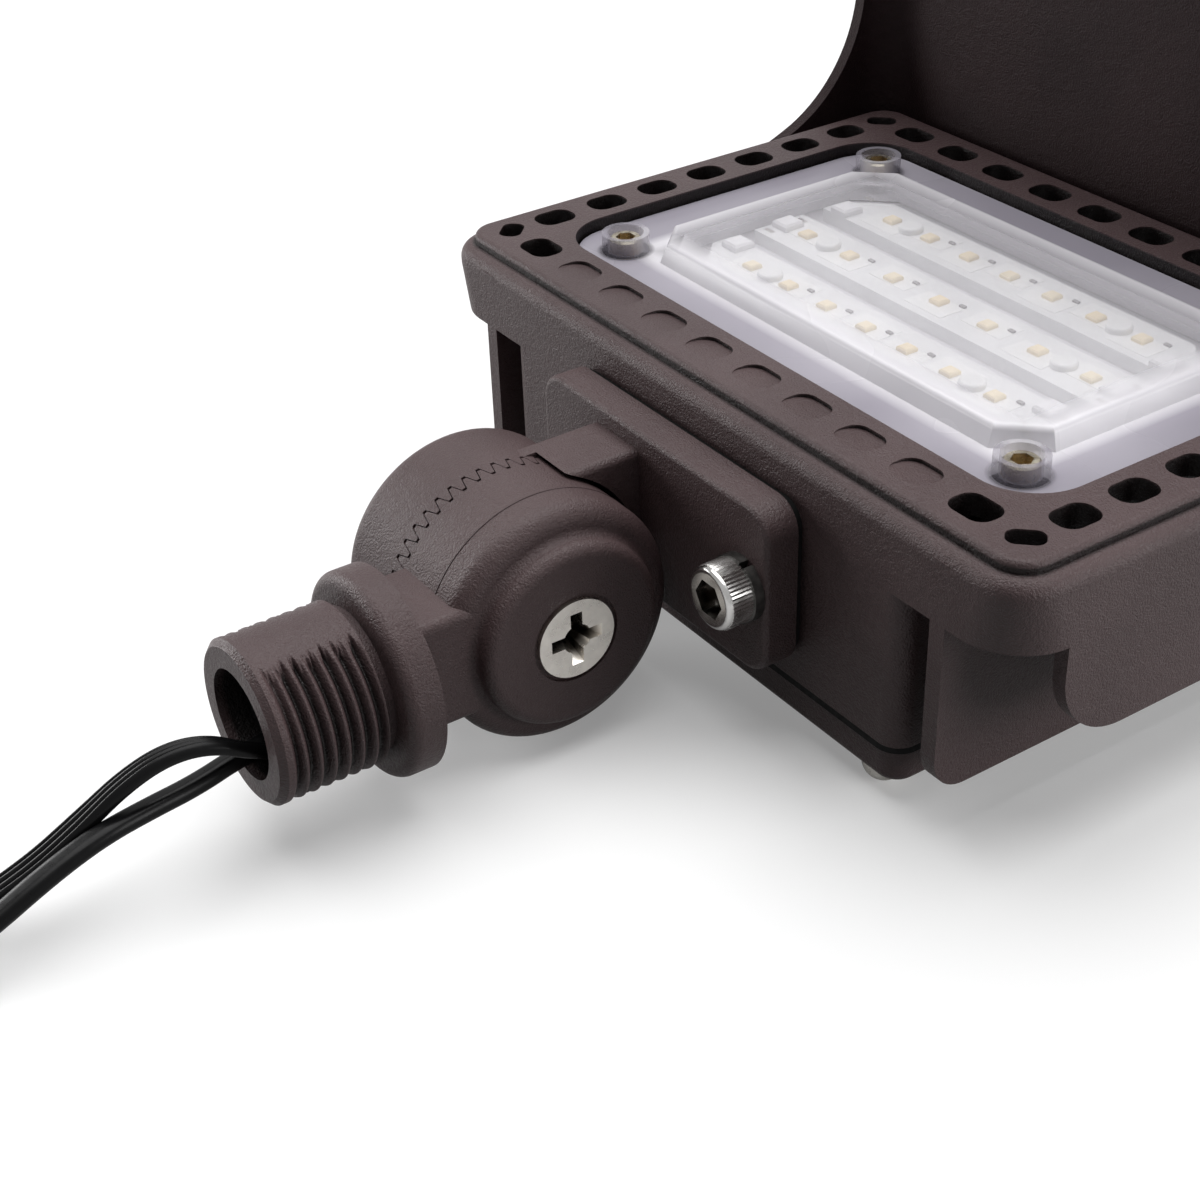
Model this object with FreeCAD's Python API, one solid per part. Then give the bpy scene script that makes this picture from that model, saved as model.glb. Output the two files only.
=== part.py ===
import FreeCAD, Part
import math
import os

# LED flood light on a toothed knuckle. The origin is on the axis of the threaded nipple, where its full
# thread ends. +Y runs from the nipple to the lamp head, +Z is the way the lens looks, X is the tilt axis.

# How far a cutting shape runs past the face it cuts, and how close two places count as one
OVERCUT = 1.0
TOLERANCE = 1e-4

# Threaded nipple, collar and neck of the knuckle's base half
THREAD_D = 21.0
NIPPLE_L = 14.0
NIPPLE_CHAMFER = 0.8
BORE_D = 14.0
BORE_DEPTH = 12.0
RUN_OUT_D = 18.6
RUN_OUT_L = 1.5
COLLAR_D = 26.5
COLLAR_L = 4.6
COLLAR_ROUND = 1.6
NECK_H = 15.6
NECK_ROUND = 1.2

# Knuckle
PIVOT_Y = 27.3
KNUCKLE_D = 33.0
SEAM_X = -8.2
BASE_T = 16.8
HEAD_T = 12.6
HEAD_RIM = 2.6
SHOULDER_DROP = 2.8
SHOULDER_ROUND = 2.6
BOSS_D = 25.4
BOSS_FILLET = 1.1
BOSS_ROUND = 1.6
TEETH = 48
TOOTH_H = 2.0
TOOTH_TIP = 0.24
TOOTH_GAP = 0.45
TEETH_INNER_D = 24.0
SEAL_D = 20.0
SEAL_SECTION = 2.4
SEAL_GAP = 0.3

# Clamp screw of the knuckle and the insert it turns in
CLAMP_D = 6.0
CLAMP_HEAD_D = 10.9
CLAMP_HEAD_H = 3.0
CLAMP_RIM = 0.7
CLAMP_RECESS = 0.5
CLAMP_RECESS_D = 12.2
CLAMP_END = 4.0
CLAMP_END_GAP = 1.0
CLAMP_CROSS_W = 1.7
CLAMP_CROSS_L = 7.4
CLAMP_CROSS_DEPTH = 3.4
CLAMP_CROSS_TAPER = 0.45
CLAMP_CORE_D = 4.0
HOLE_CLEARANCE = 0.35
INSERT_D = 9.0

# Mounting plate, arm and gasket
PLATE_W = 48.4
PLATE_H = 23.4
PLATE_T = 4.8
PLATE_TOP = 18.4
PLATE_CORNER = 4.0
PLATE_EDGE = 0.8
PLATE_CLEARANCE = 0.6
ARM_LEFT = -12.0
ARM_RIGHT = -2.0
ARM_TOP = 15.8
ARM_BOTTOM = -1.2
ARM_ROUND = 1.0
GASKET_T = 1.2
GASKET_INSET = 0.8

# Socket screws and spring washers of the plate
SOCKET_INSET = 4.6
SOCKET_D = 5.0
SOCKET_HEAD_D = 8.2
SOCKET_HEAD_H = 3.8
SOCKET_HEAD_ROUND = 0.7
SOCKET_HEX = 4.5
SOCKET_HEX_DEPTH = 2.2
SOCKET_REACH = 8.0
INNER_SCREW_HEAD_D = 8.6
INNER_SCREW_HEAD_H = 3.0
INNER_SCREW_ROUND = 0.8
INNER_SCREW_BITE = 3.6
WASHER_D = 8.9
WASHER_T = 1.3
WASHER_SPLIT = 0.9
WASHER_SPLIT_ANGLE = 70.0

# Housing casting
HOUSING_W = 118.4
HOUSING_D = 84.0
HOUSING_TOP = 24.9
HOUSING_CORNER = 6.2
SKIRT_CORNER = 8.6
BEZEL_H = 11.2
LIP_DROP = 1.5
LIP_ROUND = 2.1
LIP_H = 3.0
TOP_INSET = 2.2
TOP_ROUND = 0.8
FRAME_T = 3.0
SKIRT_T = 2.5
OPENING_W = 96.2
OPENING_D = 60.4
OPENING_CORNER = 8.0
LENS_SEAT = 4.6
LENS_LEDGE = 4.2
CHAMBER_FLOOR = 6.6
CHAMBER_WALL = 1.6
SLAB_BOTTOM = 13.2
BOX_W = 83.4
BOX_FAR = 34.0
BOX_H = 33.0
BOX_WALL = 3.0
BOX_CORNER = 3.0
BOX_OVERLAP = 2.0
FIN_GAP = 4.3
FIN_T = 2.4
FIN_DROP = 35.0
FIN_REACH = 80.0
FIN_CORNER = 5.0
SIDE_TAB_L = 67.2
SIDE_TAB_T = 2.0
SIDE_TAB_DROP = 25.5
SIDE_TAB_ROUND = 10.0

# Cooling slots through the bezel
SLOT_ROUND = 2.0
LONG_ROW_COUNT = 10
LONG_ROW_PITCH = 9.88
LONG_ROW_INSET = 7.3
LONG_SLOT_L = 6.4
LONG_SLOT_W = 4.8
SHORT_ROW_COUNT = 7
SHORT_ROW_PITCH = 9.1
SHORT_ROW_INSET = 6.9
SHORT_SLOT_L = 6.0
SHORT_SLOT_W = 4.6
CORNER_SLOT_L = 4.6
CORNER_SLOT_W = 3.2
CORNER_SLOT_ROUND = 1.3
CORNER_SLOT_ANGLE = 45.0
BLIND_SLOT_DEPTH = 0.55

# Lens, its gasket and screws
LENS_GAP = 0.4
LENS_FLANGE_T = 2.0
LENS_GASKET_T = 0.8
LENS_GASKET_INSET = 0.6
PLATEAU_INSET_X = 8.6
PLATEAU_INSET_Y = 7.2
PLATEAU_H = 2.7
PLATEAU_CUT = 6.0
PLATEAU_TAPER = 1.8
PLATEAU_ROUND = 1.0
LENS_WALL = 1.3
LENS_SCREW_INSET_X = 8.2
LENS_SCREW_INSET_Y = 6.8
TOWER_D = 6.8
TOWER_BORE_D = 5.2
LENS_SCREW_D = 3.0
LENS_SCREW_HEAD_D = 4.6
LENS_SCREW_HEAD_H = 2.0
LENS_SCREW_EDGE = 0.3
LENS_SCREW_HEX = 2.5
LENS_SCREW_HEX_DEPTH = 1.3
LENS_SCREW_REACH = 6.0
SCREW_BOSS_D = 8.4

# LED strips on their white tray
TRAY_GAP = 4.0
TRAY_T = 2.6
TRAY_CUT = 8.0
BOARD_W = 9.0
BOARD_T = 2.0
BOARD_PITCH = 12.8
LED_COUNT = 7
EDGE_LED_MARGIN = 10.2
MIDDLE_LED_MARGIN = 6.6
LED_SIZE = 2.0
LED_H = 0.7
LED_EDGE = 0.2
CONNECTOR_L = 3.2
CONNECTOR_W = 3.4
CONNECTOR_H = 1.0
CONNECTOR_INSET = 0.5
CONNECTOR_EDGE = 0.3
BOARD_SCREW_D = 2.2
BOARD_SCREW_HEAD_D = 3.6
BOARD_SCREW_HEAD_H = 0.9
BOARD_SCREW_ROUND = 0.4
BOARD_CLEARANCE = 3.7
EDGE_ROW_DRAW_IN = 1.2

# Driver in the box, rear cover, its gasket and dome screws
DRIVER_GAP = 2.0
DRIVER_H = 13.0
DRIVER_ROUND = 2.0
COVER_GASKET_T = 1.4
COVER_GASKET_RIM = 3.0
COVER_GASKET_LIP = 0.4
COVER_T = 4.8
COVER_INSET = 0.8
COVER_ROUND = 1.2
DOME_D = 5.6
DOME_H = 3.2
DOME_SCREW_D = 3.5
DOME_SCREW_REACH = 9.0
DOME_INSET_X = 6.6
DOME_INSET_Y = 4.4
DOME_BOSS_D = 8.0

# Visor
VISOR_T = 2.0
VISOR_H = 55.0
VISOR_OVERLAP = 9.6
VISOR_FRONT_Y = 18.0
VISOR_FRONT_Z = -2.8
VISOR_LOW_ANGLE = 22.0
VISOR_HIGH_ANGLE = 84.0
VISOR_BEND = 23.0
VISOR_TIP = 2.0
VISOR_SCREW_D = 3.5
VISOR_SCREW_HEAD_D = 6.6
VISOR_SCREW_HEAD_H = 2.0
VISOR_SCREW_REACH = 1.8
VISOR_SCREW_DROP = 7.6
VISOR_SCREW_Y = (24.0, 33.0)

# Leads
LEAD_D = 2.8
LEAD_SEAL_T = 5.0
LEAD_ENTRY = 1.0
LEAD_START_Y = -9.0
CORE_D = 0.8
CORE_L = 8.0
CORE_PITCH = 0.95
POWER_CORE_COUNT = 3
CONTROL_CORE_COUNT = 2
ARC_SHARE = 0.45
POWER_LEAD_ROUTE = [
    (2.4, LEAD_START_Y, -4.7), (2.4, -13.8, -2.6), (1.7, -18.6, 0.4), (0.8, -23.6, 0.7),
    (-0.2, -28.8, -1.6), (-1.3, -34.2, -5.7), (-2.2, -40.8, -9.9), (-3.2, -49.4, -13.3),
    (-5.4, -60.5, -15.6), (-10.0, -76.0, -16.2), (-14.5, -95.0, -16.1), (-15.0, -113.5, -16.2)]
CONTROL_LEAD_ROUTE = [
    (-1.2, LEAD_START_Y, -4.6), (-0.9, -14.5, -5.0), (-0.2, -20.5, -6.0), (0.9, -27.2, -5.8),
    (2.2, -33.6, -5.7), (2.8, -40.4, -7.6), (3.2, -48.0, -10.9), (3.6, -57.5, -14.2),
    (3.9, -69.5, -16.0), (2.2, -85.0, -16.2), (-1.0, -102.0, -16.1), (-0.5, -118.0, -16.2)]

# Places that follow from the sizes above
FRONT_X = SEAM_X + BASE_T
BACK_X = SEAM_X - HEAD_T
PLATE_FRONT = PIVOT_Y + KNUCKLE_D / 2 + PLATE_CLEARANCE
PLATE_BACK = PLATE_FRONT + PLATE_T
PLATE_MID_Z = PLATE_TOP - PLATE_H / 2
HOUSING_FRONT = PLATE_BACK + GASKET_T
HOUSING_Y = HOUSING_FRONT + HOUSING_D / 2
BEZEL_BOTTOM = HOUSING_TOP - BEZEL_H
BOX_BOTTOM = HOUSING_TOP - BOX_H
COVER_TOP = BOX_BOTTOM - COVER_GASKET_T
COVER_BOTTOM = COVER_TOP - COVER_T
BOX_Y0 = HOUSING_FRONT
BOX_Y1 = HOUSING_Y + BOX_FAR
FIN_X = BOX_W / 2 + FIN_GAP + FIN_T
SOCKET_X = PLATE_W / 2 - SOCKET_INSET
COLLAR_END = RUN_OUT_L + COLLAR_L
LONG_ROW_Y = HOUSING_D / 2 - LONG_ROW_INSET
SHORT_ROW_X = HOUSING_W / 2 - SHORT_ROW_INSET
CHAMBER_W = OPENING_W - 2 * LENS_LEDGE
CHAMBER_D = OPENING_D - 2 * LENS_LEDGE
LENS_TOP = HOUSING_TOP - LENS_SEAT + LENS_GASKET_T + LENS_FLANGE_T
PLATEAU_W = OPENING_W - 2 * PLATEAU_INSET_X
PLATEAU_D = OPENING_D - 2 * PLATEAU_INSET_Y
LENS_SCREW_X = OPENING_W / 2 - LENS_SCREW_INSET_X
LENS_SCREW_Y = OPENING_D / 2 - LENS_SCREW_INSET_Y
BOARD_INSET = LENS_WALL + BOARD_CLEARANCE
BOARD_L = PLATEAU_W - 2 * BOARD_INSET
BOARD_BOTTOM = HOUSING_TOP - CHAMBER_FLOOR + TRAY_T
BOARD_TOP = BOARD_BOTTOM + BOARD_T
X_AXIS = FreeCAD.Vector(1, 0, 0)
Y_AXIS = FreeCAD.Vector(0, 1, 0)
Z_AXIS = FreeCAD.Vector(0, 0, 1)
PIVOT = FreeCAD.Vector(0, PIVOT_Y, 0)


def vec(x, y, z):
    return FreeCAD.Vector(x, y, z)


def block(x0, x1, y0, y1, z0, z1):
    return Part.makeBox(x1 - x0, y1 - y0, z1 - z0, vec(x0, y0, z0))


def rod(diameter, start, direction, length):
    return Part.makeCylinder(diameter / 2, length, start, direction)


def edges_along(edges, axis):
    """Those of the edges whose ends differ in the coordinate X, Y or Z."""
    return [e for e in edges if abs(getattr(e.Vertexes[0], axis) - getattr(e.Vertexes[-1], axis)) > TOLERANCE]


def edges_at(shape, axis, value):
    """The edges that lie wholly in the plane where the coordinate X, Y or Z has the value."""
    return [e for e in shape.Edges if abs(getattr(e.BoundBox, axis + "Min") - value) < TOLERANCE
            and abs(getattr(e.BoundBox, axis + "Max") - value) < TOLERANCE]


def side_block(side, outer, thickness, y0, y1, z0, z1):
    """A wall on the +X or -X side, its outer face at the given distance from the middle."""
    x0, x1 = sorted((side * outer, side * (outer - thickness)))
    return block(x0, x1, y0, y1, z0, z1)


def rounded_slab(width, depth, corner, centre_y, z0, z1, centre_x=0.0):
    """A plate with rounded corners, seen from above."""
    half_x, half_y = width / 2, depth / 2
    slab = block(centre_x - half_x, centre_x + half_x, centre_y - half_y, centre_y + half_y, z0, z1)
    return slab.makeFillet(corner, edges_along(slab.Edges, "Z"))


def rounded_loft(width, depth, low_corner, high_corner, centre_y, z0, z1):
    """A plate whose corner radius changes from its lower to its upper edge."""
    def outline(corner, z):
        plate = rounded_slab(width, depth, corner, centre_y, z, z + OVERCUT)
        return Part.Wire(Part.__sortEdges__(edges_at(plate, "Z", z)))
    return Part.makeLoft([outline(low_corner, z0), outline(high_corner, z1)], True, True)


def cut_corner_slab(width, depth, cut, centre_y, z0, z1, taper=0.0):
    """A plate with its four corners cut off, drawn in by the taper at its top."""
    def outline(grow, z):
        a, b = width / 2 - grow, depth / 2 - grow
        c = cut - grow * (2 - math.sqrt(2))
        points = [vec(a - c, -b, 0), vec(a, -b + c, 0), vec(a, b - c, 0), vec(a - c, b, 0),
                  vec(-a + c, b, 0), vec(-a, b - c, 0), vec(-a, -b + c, 0), vec(-a + c, -b, 0)]
        points = [p + vec(0, centre_y, z) for p in points]
        return Part.makePolygon(points + points[:1])
    return Part.makeLoft([outline(0.0, z0), outline(taper, z1)], True, True)


def revolved(points, arcs, axis_point, axis):
    """Turns a profile about an axis. arcs maps the index of a side to the middle point of its arc."""
    edges = []
    for i, start in enumerate(points):
        end = points[(i + 1) % len(points)]
        if i in arcs:
            edges.append(Part.Arc(start, arcs[i], end).toShape())
        else:
            edges.append(Part.LineSegment(start, end).toShape())
    return Part.Face(Part.Wire(edges)).revolve(axis_point, axis, 360)


def hexagon_prism(across, start, direction, length):
    corner = across / math.sqrt(3)
    turns = [math.radians(60 * k) for k in range(7)]
    outline = Part.makePolygon([vec(corner * math.cos(a), corner * math.sin(a), 0) for a in turns])
    prism = Part.Face(outline).extrude(vec(0, 0, length))
    prism.Placement = FreeCAD.Placement(start, FreeCAD.Rotation(Z_AXIS, direction))
    return prism


def dome_head(diameter, height, seat, direction):
    """A round screw head: a cap of a sphere standing on its seat."""
    radius = (diameter ** 2 / 4 + height ** 2) / (2 * height)
    latitude = math.degrees(math.asin((radius - height) / radius))
    return Part.makeSphere(radius, seat - direction * (radius - height), direction, latitude, 90)


def group(shapes):
    return Part.makeCompound(shapes)


def tooth_ring(root_x, point):
    """Radial teeth standing on the plane x = root_x, pointing along point (+1 or -1 in X)."""
    pitch = 2 * math.pi / TEETH
    outer = KNUCKLE_D / 2

    def section(radius):
        half_root = radius * math.tan(pitch / 2) * (1 - TOOTH_TIP)
        half_tip = radius * math.tan(pitch / 2) * TOOTH_TIP
        tip_x = root_x + point * TOOTH_H
        base_x = root_x - point * TOOTH_GAP
        half_profile = [(base_x, half_root), (root_x, half_root), (tip_x, half_tip)]
        corners = [vec(x, radius, -z) for x, z in half_profile]
        corners += [vec(x, radius, z) for x, z in reversed(half_profile)]
        return Part.makePolygon(corners + corners[:1])

    wedge = Part.makeLoft([section(TEETH_INNER_D / 2), section(outer + OVERCUT)], True, True)
    tooth = wedge.common(rod(KNUCKLE_D, vec(root_x - 2 * TOOTH_H, 0, 0), X_AXIS, 4 * TOOTH_H))
    shift = 0.0 if point < 0 else 180.0 / TEETH
    teeth = []
    for k in range(TEETH):
        one = tooth.copy()
        one.rotate(vec(0, 0, 0), X_AXIS, shift + k * 360.0 / TEETH)
        one.translate(PIVOT)
        teeth.append(one)
    return teeth


def make_knuckle_base():
    radius = KNUCKLE_D / 2
    root_x = SEAM_X + TOOTH_H / 2 + TOOTH_GAP / 2
    shoulder_x = FRONT_X - SHOULDER_DROP
    diag = 1 - math.sqrt(0.5)

    def at(x, r):
        return vec(x, PIVOT_Y + r, 0)

    def rounded(x, r, radius, outward):
        return at(x + outward * radius * diag, r + outward * radius * diag)

    boss = BOSS_D / 2
    profile = [at(root_x, 0), at(root_x, radius), at(shoulder_x - SHOULDER_ROUND, radius),
               at(shoulder_x, radius - SHOULDER_ROUND), at(shoulder_x, boss + BOSS_FILLET),
               at(shoulder_x + BOSS_FILLET, boss), at(FRONT_X - BOSS_ROUND, boss),
               at(FRONT_X, boss - BOSS_ROUND), at(FRONT_X, 0)]
    arcs = {2: rounded(shoulder_x, radius, SHOULDER_ROUND, -1), 4: rounded(shoulder_x, boss, BOSS_FILLET, 1),
            6: rounded(FRONT_X, boss, BOSS_ROUND, -1)}
    disc = revolved(profile, arcs, PIVOT, X_AXIS)
    neck = block(root_x, shoulder_x, RUN_OUT_L + COLLAR_ROUND, PIVOT_Y - boss, -NECK_H / 2, NECK_H / 2)
    neck = neck.makeFillet(NECK_ROUND, edges_along(edges_at(neck, "X", shoulder_x), "Y"))
    collar = rod(COLLAR_D, vec(0, RUN_OUT_L, 0), Y_AXIS, COLLAR_L)
    collar = collar.makeFillet(COLLAR_ROUND, edges_at(collar, "Y", RUN_OUT_L))
    run_out = rod(RUN_OUT_D, vec(0, -NIPPLE_L / 2, 0), Y_AXIS, NIPPLE_L / 2 + COLLAR_END)
    nipple = rod(THREAD_D, vec(0, -NIPPLE_L, 0), Y_AXIS, NIPPLE_L)
    nipple = nipple.makeChamfer(NIPPLE_CHAMFER, edges_at(nipple, "Y", -NIPPLE_L))
    body = disc.fuse([neck, collar, run_out, nipple]).removeSplitter()
    seal_bore = SEAL_D + 2 * SEAL_GAP
    seal_floor = SEAM_X + SEAL_SECTION / 2
    body = body.cut(rod(seal_bore, vec(root_x - OVERCUT, PIVOT_Y, 0), X_AXIS, seal_floor - root_x + OVERCUT))
    body = body.cut(rod(BORE_D, vec(0, -NIPPLE_L - OVERCUT, 0), Y_AXIS, BORE_DEPTH + OVERCUT))
    body = body.cut(rod(CLAMP_D + 2 * HOLE_CLEARANCE, vec(SEAM_X - BASE_T, PIVOT_Y, 0), X_AXIS, 2 * BASE_T))
    seat = FRONT_X - CLAMP_RECESS
    body = body.cut(rod(CLAMP_RECESS_D, vec(seat, PIVOT_Y, 0), X_AXIS, CLAMP_RECESS + OVERCUT))
    body = body.cut(clamp_cone())
    return body.fuse(tooth_ring(root_x, -1)).removeSplitter()


def clamp_cone():
    """The countersunk head of the clamp screw, which is also its seat."""
    low = vec(FRONT_X - CLAMP_RECESS - CLAMP_HEAD_H, PIVOT_Y, 0)
    return Part.makeCone(CLAMP_D / 2, CLAMP_HEAD_D / 2, CLAMP_HEAD_H, low, X_AXIS)


def make_clamp_screw():
    """Countersunk screw with a low rim and a cross recess that widens at its middle."""
    seat = FRONT_X - CLAMP_RECESS
    top = seat + CLAMP_RIM
    end_x = BACK_X + CLAMP_END + CLAMP_END_GAP
    shank = rod(CLAMP_D, vec(end_x, PIVOT_Y, 0), X_AXIS, seat - CLAMP_HEAD_H - end_x)
    rim = rod(CLAMP_HEAD_D, vec(seat, PIVOT_Y, 0), X_AXIS, CLAMP_RIM)
    screw = clamp_cone().fuse([shank, rim]).removeSplitter()
    floor = top - CLAMP_CROSS_DEPTH
    core = Part.makeCone(CLAMP_CORE_D / 2 * CLAMP_CROSS_TAPER, CLAMP_CORE_D / 2, CLAMP_CROSS_DEPTH,
                         vec(floor, PIVOT_Y, 0), X_AXIS)
    bars = [tapered_bar(top, floor, width / 2, height / 2, CLAMP_CROSS_TAPER)
            for width, height in ((CLAMP_CROSS_L, CLAMP_CROSS_W), (CLAMP_CROSS_W, CLAMP_CROSS_L))]
    return screw.cut(bars + [core])


def tapered_bar(x_top, x_low, half_y, half_z, shrink):
    """One bar of a cross recess, smaller at its bottom."""
    def outline(x, scale):
        corners = [vec(x, PIVOT_Y + sy * half_y * scale, sz * half_z * scale)
                   for sy, sz in ((-1, -1), (1, -1), (1, 1), (-1, 1))]
        return Part.makePolygon(corners + corners[:1])
    return Part.makeLoft([outline(x_top, 1.0), outline(x_low, shrink)], True, True)


def make_clamp_insert():
    end_x = BACK_X + CLAMP_END
    length = SEAM_X - SEAL_SECTION / 2 - end_x
    sleeve = rod(INSERT_D, vec(end_x, PIVOT_Y, 0), X_AXIS, length)
    return sleeve.cut(rod(CLAMP_D + 2 * HOLE_CLEARANCE, vec(end_x, PIVOT_Y, 0), X_AXIS, length))


def make_knuckle_seal():
    """A rubber ring between the two halves, on the shoulder inside the teeth."""
    start = SEAM_X - SEAL_SECTION / 2
    ring = rod(SEAL_D, vec(start, PIVOT_Y, 0), X_AXIS, SEAL_SECTION)
    return ring.cut(rod(SEAL_D - 2 * SEAL_SECTION, vec(start, PIVOT_Y, 0), X_AXIS, SEAL_SECTION))


def make_knuckle_head():
    root_x = SEAM_X - TOOTH_H / 2 - TOOTH_GAP / 2
    disc = rod(KNUCKLE_D, vec(BACK_X, PIVOT_Y, 0), X_AXIS, root_x - BACK_X)
    disc = disc.makeFillet(HEAD_RIM, edges_at(disc, "X", BACK_X))
    arm = block(ARM_LEFT, ARM_RIGHT, PIVOT_Y, PLATE_FRONT + PLATE_T / 2, ARM_BOTTOM, ARM_TOP)
    arm = arm.makeFillet(ARM_ROUND, edges_along(arm.Edges, "Y"))
    sweep = rod(KNUCKLE_D + 2 * PLATE_CLEARANCE, vec(root_x, PIVOT_Y, 0), X_AXIS, BASE_T + HEAD_T)
    arm = arm.cut(sweep)
    plate = block(-PLATE_W / 2, PLATE_W / 2, PLATE_FRONT, PLATE_BACK, PLATE_TOP - PLATE_H, PLATE_TOP)
    plate = plate.makeFillet(PLATE_CORNER, edges_along(plate.Edges, "Y"))
    plate = plate.makeFillet(PLATE_EDGE, edges_at(plate, "Y", PLATE_FRONT))
    body = plate.fuse([arm, disc]).removeSplitter()
    seal_bore = SEAL_D + 2 * SEAL_GAP
    seal_start = SEAM_X - SEAL_SECTION / 2
    screw_start = vec(SOCKET_X, PLATE_FRONT - OVERCUT, PLATE_MID_Z)
    inner_start = vec(-SOCKET_X, PLATE_BACK - INNER_SCREW_BITE, PLATE_MID_Z)
    body = body.cut([rod(SOCKET_D + 2 * HOLE_CLEARANCE, screw_start, Y_AXIS, PLATE_T + 2 * OVERCUT),
                     rod(SOCKET_D, inner_start, Y_AXIS, INNER_SCREW_BITE + OVERCUT),
                     rod(INSERT_D, vec(BACK_X + CLAMP_END, PIVOT_Y, 0), X_AXIS, HEAD_T),
                     rod(seal_bore, vec(seal_start, PIVOT_Y, 0), X_AXIS, SEAL_SECTION * 2)])
    return body.fuse(tooth_ring(root_x, 1)).removeSplitter()


def make_plate_gasket():
    pad = block(-PLATE_W / 2 + GASKET_INSET, PLATE_W / 2 - GASKET_INSET, PLATE_BACK, HOUSING_FRONT,
                PLATE_TOP - PLATE_H + GASKET_INSET, PLATE_TOP - GASKET_INSET)
    pad = pad.makeFillet(PLATE_CORNER - GASKET_INSET, edges_along(pad.Edges, "Y"))
    starts = [vec(side * SOCKET_X, PLATE_BACK - OVERCUT, PLATE_MID_Z) for side in (-1, 1)]
    length = GASKET_T + 2 * OVERCUT
    return pad.cut([rod(SOCKET_D + 2 * HOLE_CLEARANCE, start, Y_AXIS, length) for start in starts])


def make_plate_screw():
    head_base = PLATE_FRONT - WASHER_T
    start = vec(SOCKET_X, head_base - SOCKET_HEAD_H, PLATE_MID_Z)
    head = rod(SOCKET_HEAD_D, start, Y_AXIS, SOCKET_HEAD_H)
    head = head.makeFillet(SOCKET_HEAD_ROUND, edges_at(head, "Y", start.y))
    head = head.cut(hexagon_prism(SOCKET_HEX, start, Y_AXIS, SOCKET_HEX_DEPTH))
    shank_l = WASHER_T + PLATE_T + GASKET_T + SOCKET_REACH
    shank = rod(SOCKET_D, vec(start.x, head_base, start.z), Y_AXIS, shank_l)
    return head.fuse(shank).removeSplitter()


def make_plate_inner_screw():
    """The screw behind the knuckle, put in from inside the box because the knuckle covers it."""
    start = vec(-SOCKET_X, PLATE_BACK - INNER_SCREW_BITE, PLATE_MID_Z)
    seat = HOUSING_FRONT + BOX_WALL
    shank = rod(SOCKET_D, start, Y_AXIS, INNER_SCREW_BITE + GASKET_T + BOX_WALL)
    head = rod(INNER_SCREW_HEAD_D, vec(start.x, seat, start.z), Y_AXIS, INNER_SCREW_HEAD_H)
    head = head.makeFillet(INNER_SCREW_ROUND, edges_at(head, "Y", seat + INNER_SCREW_HEAD_H))
    return head.fuse(shank).removeSplitter()


def make_plate_washer():
    """A spring washer, split at one side."""
    start = vec(SOCKET_X, PLATE_FRONT - WASHER_T, PLATE_MID_Z)
    ring = rod(WASHER_D, start, Y_AXIS, WASHER_T)
    split = block(0, WASHER_D, 0, WASHER_T, -WASHER_SPLIT / 2, WASHER_SPLIT / 2)
    split.rotate(vec(0, 0, 0), Y_AXIS, -WASHER_SPLIT_ANGLE)
    split.translate(start)
    return ring.cut([rod(SOCKET_D + 2 * HOLE_CLEARANCE, start, Y_AXIS, WASHER_T), split])


def slot_prism(width, depth, x, y, z0, z1):
    return rounded_slab(width, depth, SLOT_ROUND, y, z0, z1, x)


def corner_slot(x, y, z0, z1, angle):
    slot = rounded_slab(CORNER_SLOT_L, CORNER_SLOT_W, CORNER_SLOT_ROUND, 0, z0, z1)
    slot.rotate(vec(0, 0, 0), Z_AXIS, angle)
    slot.translate(vec(x, y, 0))
    return slot


def long_row_x():
    return [(k - (LONG_ROW_COUNT - 1) / 2) * LONG_ROW_PITCH for k in range(LONG_ROW_COUNT)]


def bezel_slots():
    """Cooling slots: a row along each side and a small slanting one in each corner."""
    low, high = HOUSING_TOP - FRAME_T - OVERCUT, HOUSING_TOP + OVERCUT
    cuts = []
    for x in long_row_x():
        cuts.append(slot_prism(LONG_SLOT_L, LONG_SLOT_W, x, HOUSING_Y + LONG_ROW_Y, low, high))
    for x in (long_row_x()[0], long_row_x()[-1]):
        cuts.append(slot_prism(LONG_SLOT_L, LONG_SLOT_W, x, HOUSING_Y - LONG_ROW_Y, low, high))
    for side in (-1, 1):
        for k in range(SHORT_ROW_COUNT):
            y = HOUSING_Y + (k - (SHORT_ROW_COUNT - 1) / 2) * SHORT_ROW_PITCH
            cuts.append(slot_prism(SHORT_SLOT_W, SHORT_SLOT_L, side * SHORT_ROW_X, y, low, high))
        for end in (-1, 1):
            angle = -CORNER_SLOT_ANGLE * side * end
            cuts.append(corner_slot(side * SHORT_ROW_X, HOUSING_Y + end * LONG_ROW_Y, low, high, angle))
    return cuts


def blind_slots():
    """Scoops above the driver box, flush at their near edge and deepest at their far edge."""
    row_y = HOUSING_Y - LONG_ROW_Y
    near, far = row_y - LONG_SLOT_W / 2, row_y + LONG_SLOT_W / 2
    low, high = HOUSING_TOP - FRAME_T, HOUSING_TOP + OVERCUT
    reach = HOUSING_W / 2
    side = [vec(-reach, near, high), vec(-reach, near, HOUSING_TOP),
            vec(-reach, far, HOUSING_TOP - BLIND_SLOT_DEPTH), vec(-reach, far, high)]
    wedge = Part.Face(Part.makePolygon(side + side[:1])).extrude(vec(HOUSING_W, 0, 0))
    prisms = [slot_prism(LONG_SLOT_L, LONG_SLOT_W, x, row_y, low, high) for x in long_row_x()[1:-1]]
    return [prism.common(wedge) for prism in prisms]


def corner_points(x, y):
    return [(sx * x, HOUSING_Y + sy * y) for sx in (-1, 1) for sy in (-1, 1)]


def dome_points():
    y0, y1 = BOX_Y0 + DOME_INSET_Y, BOX_Y1 - DOME_INSET_Y
    return [(sx * (BOX_W / 2 - DOME_INSET_X), y) for sx in (-1, 1) for y in (y0, y1)]


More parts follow.
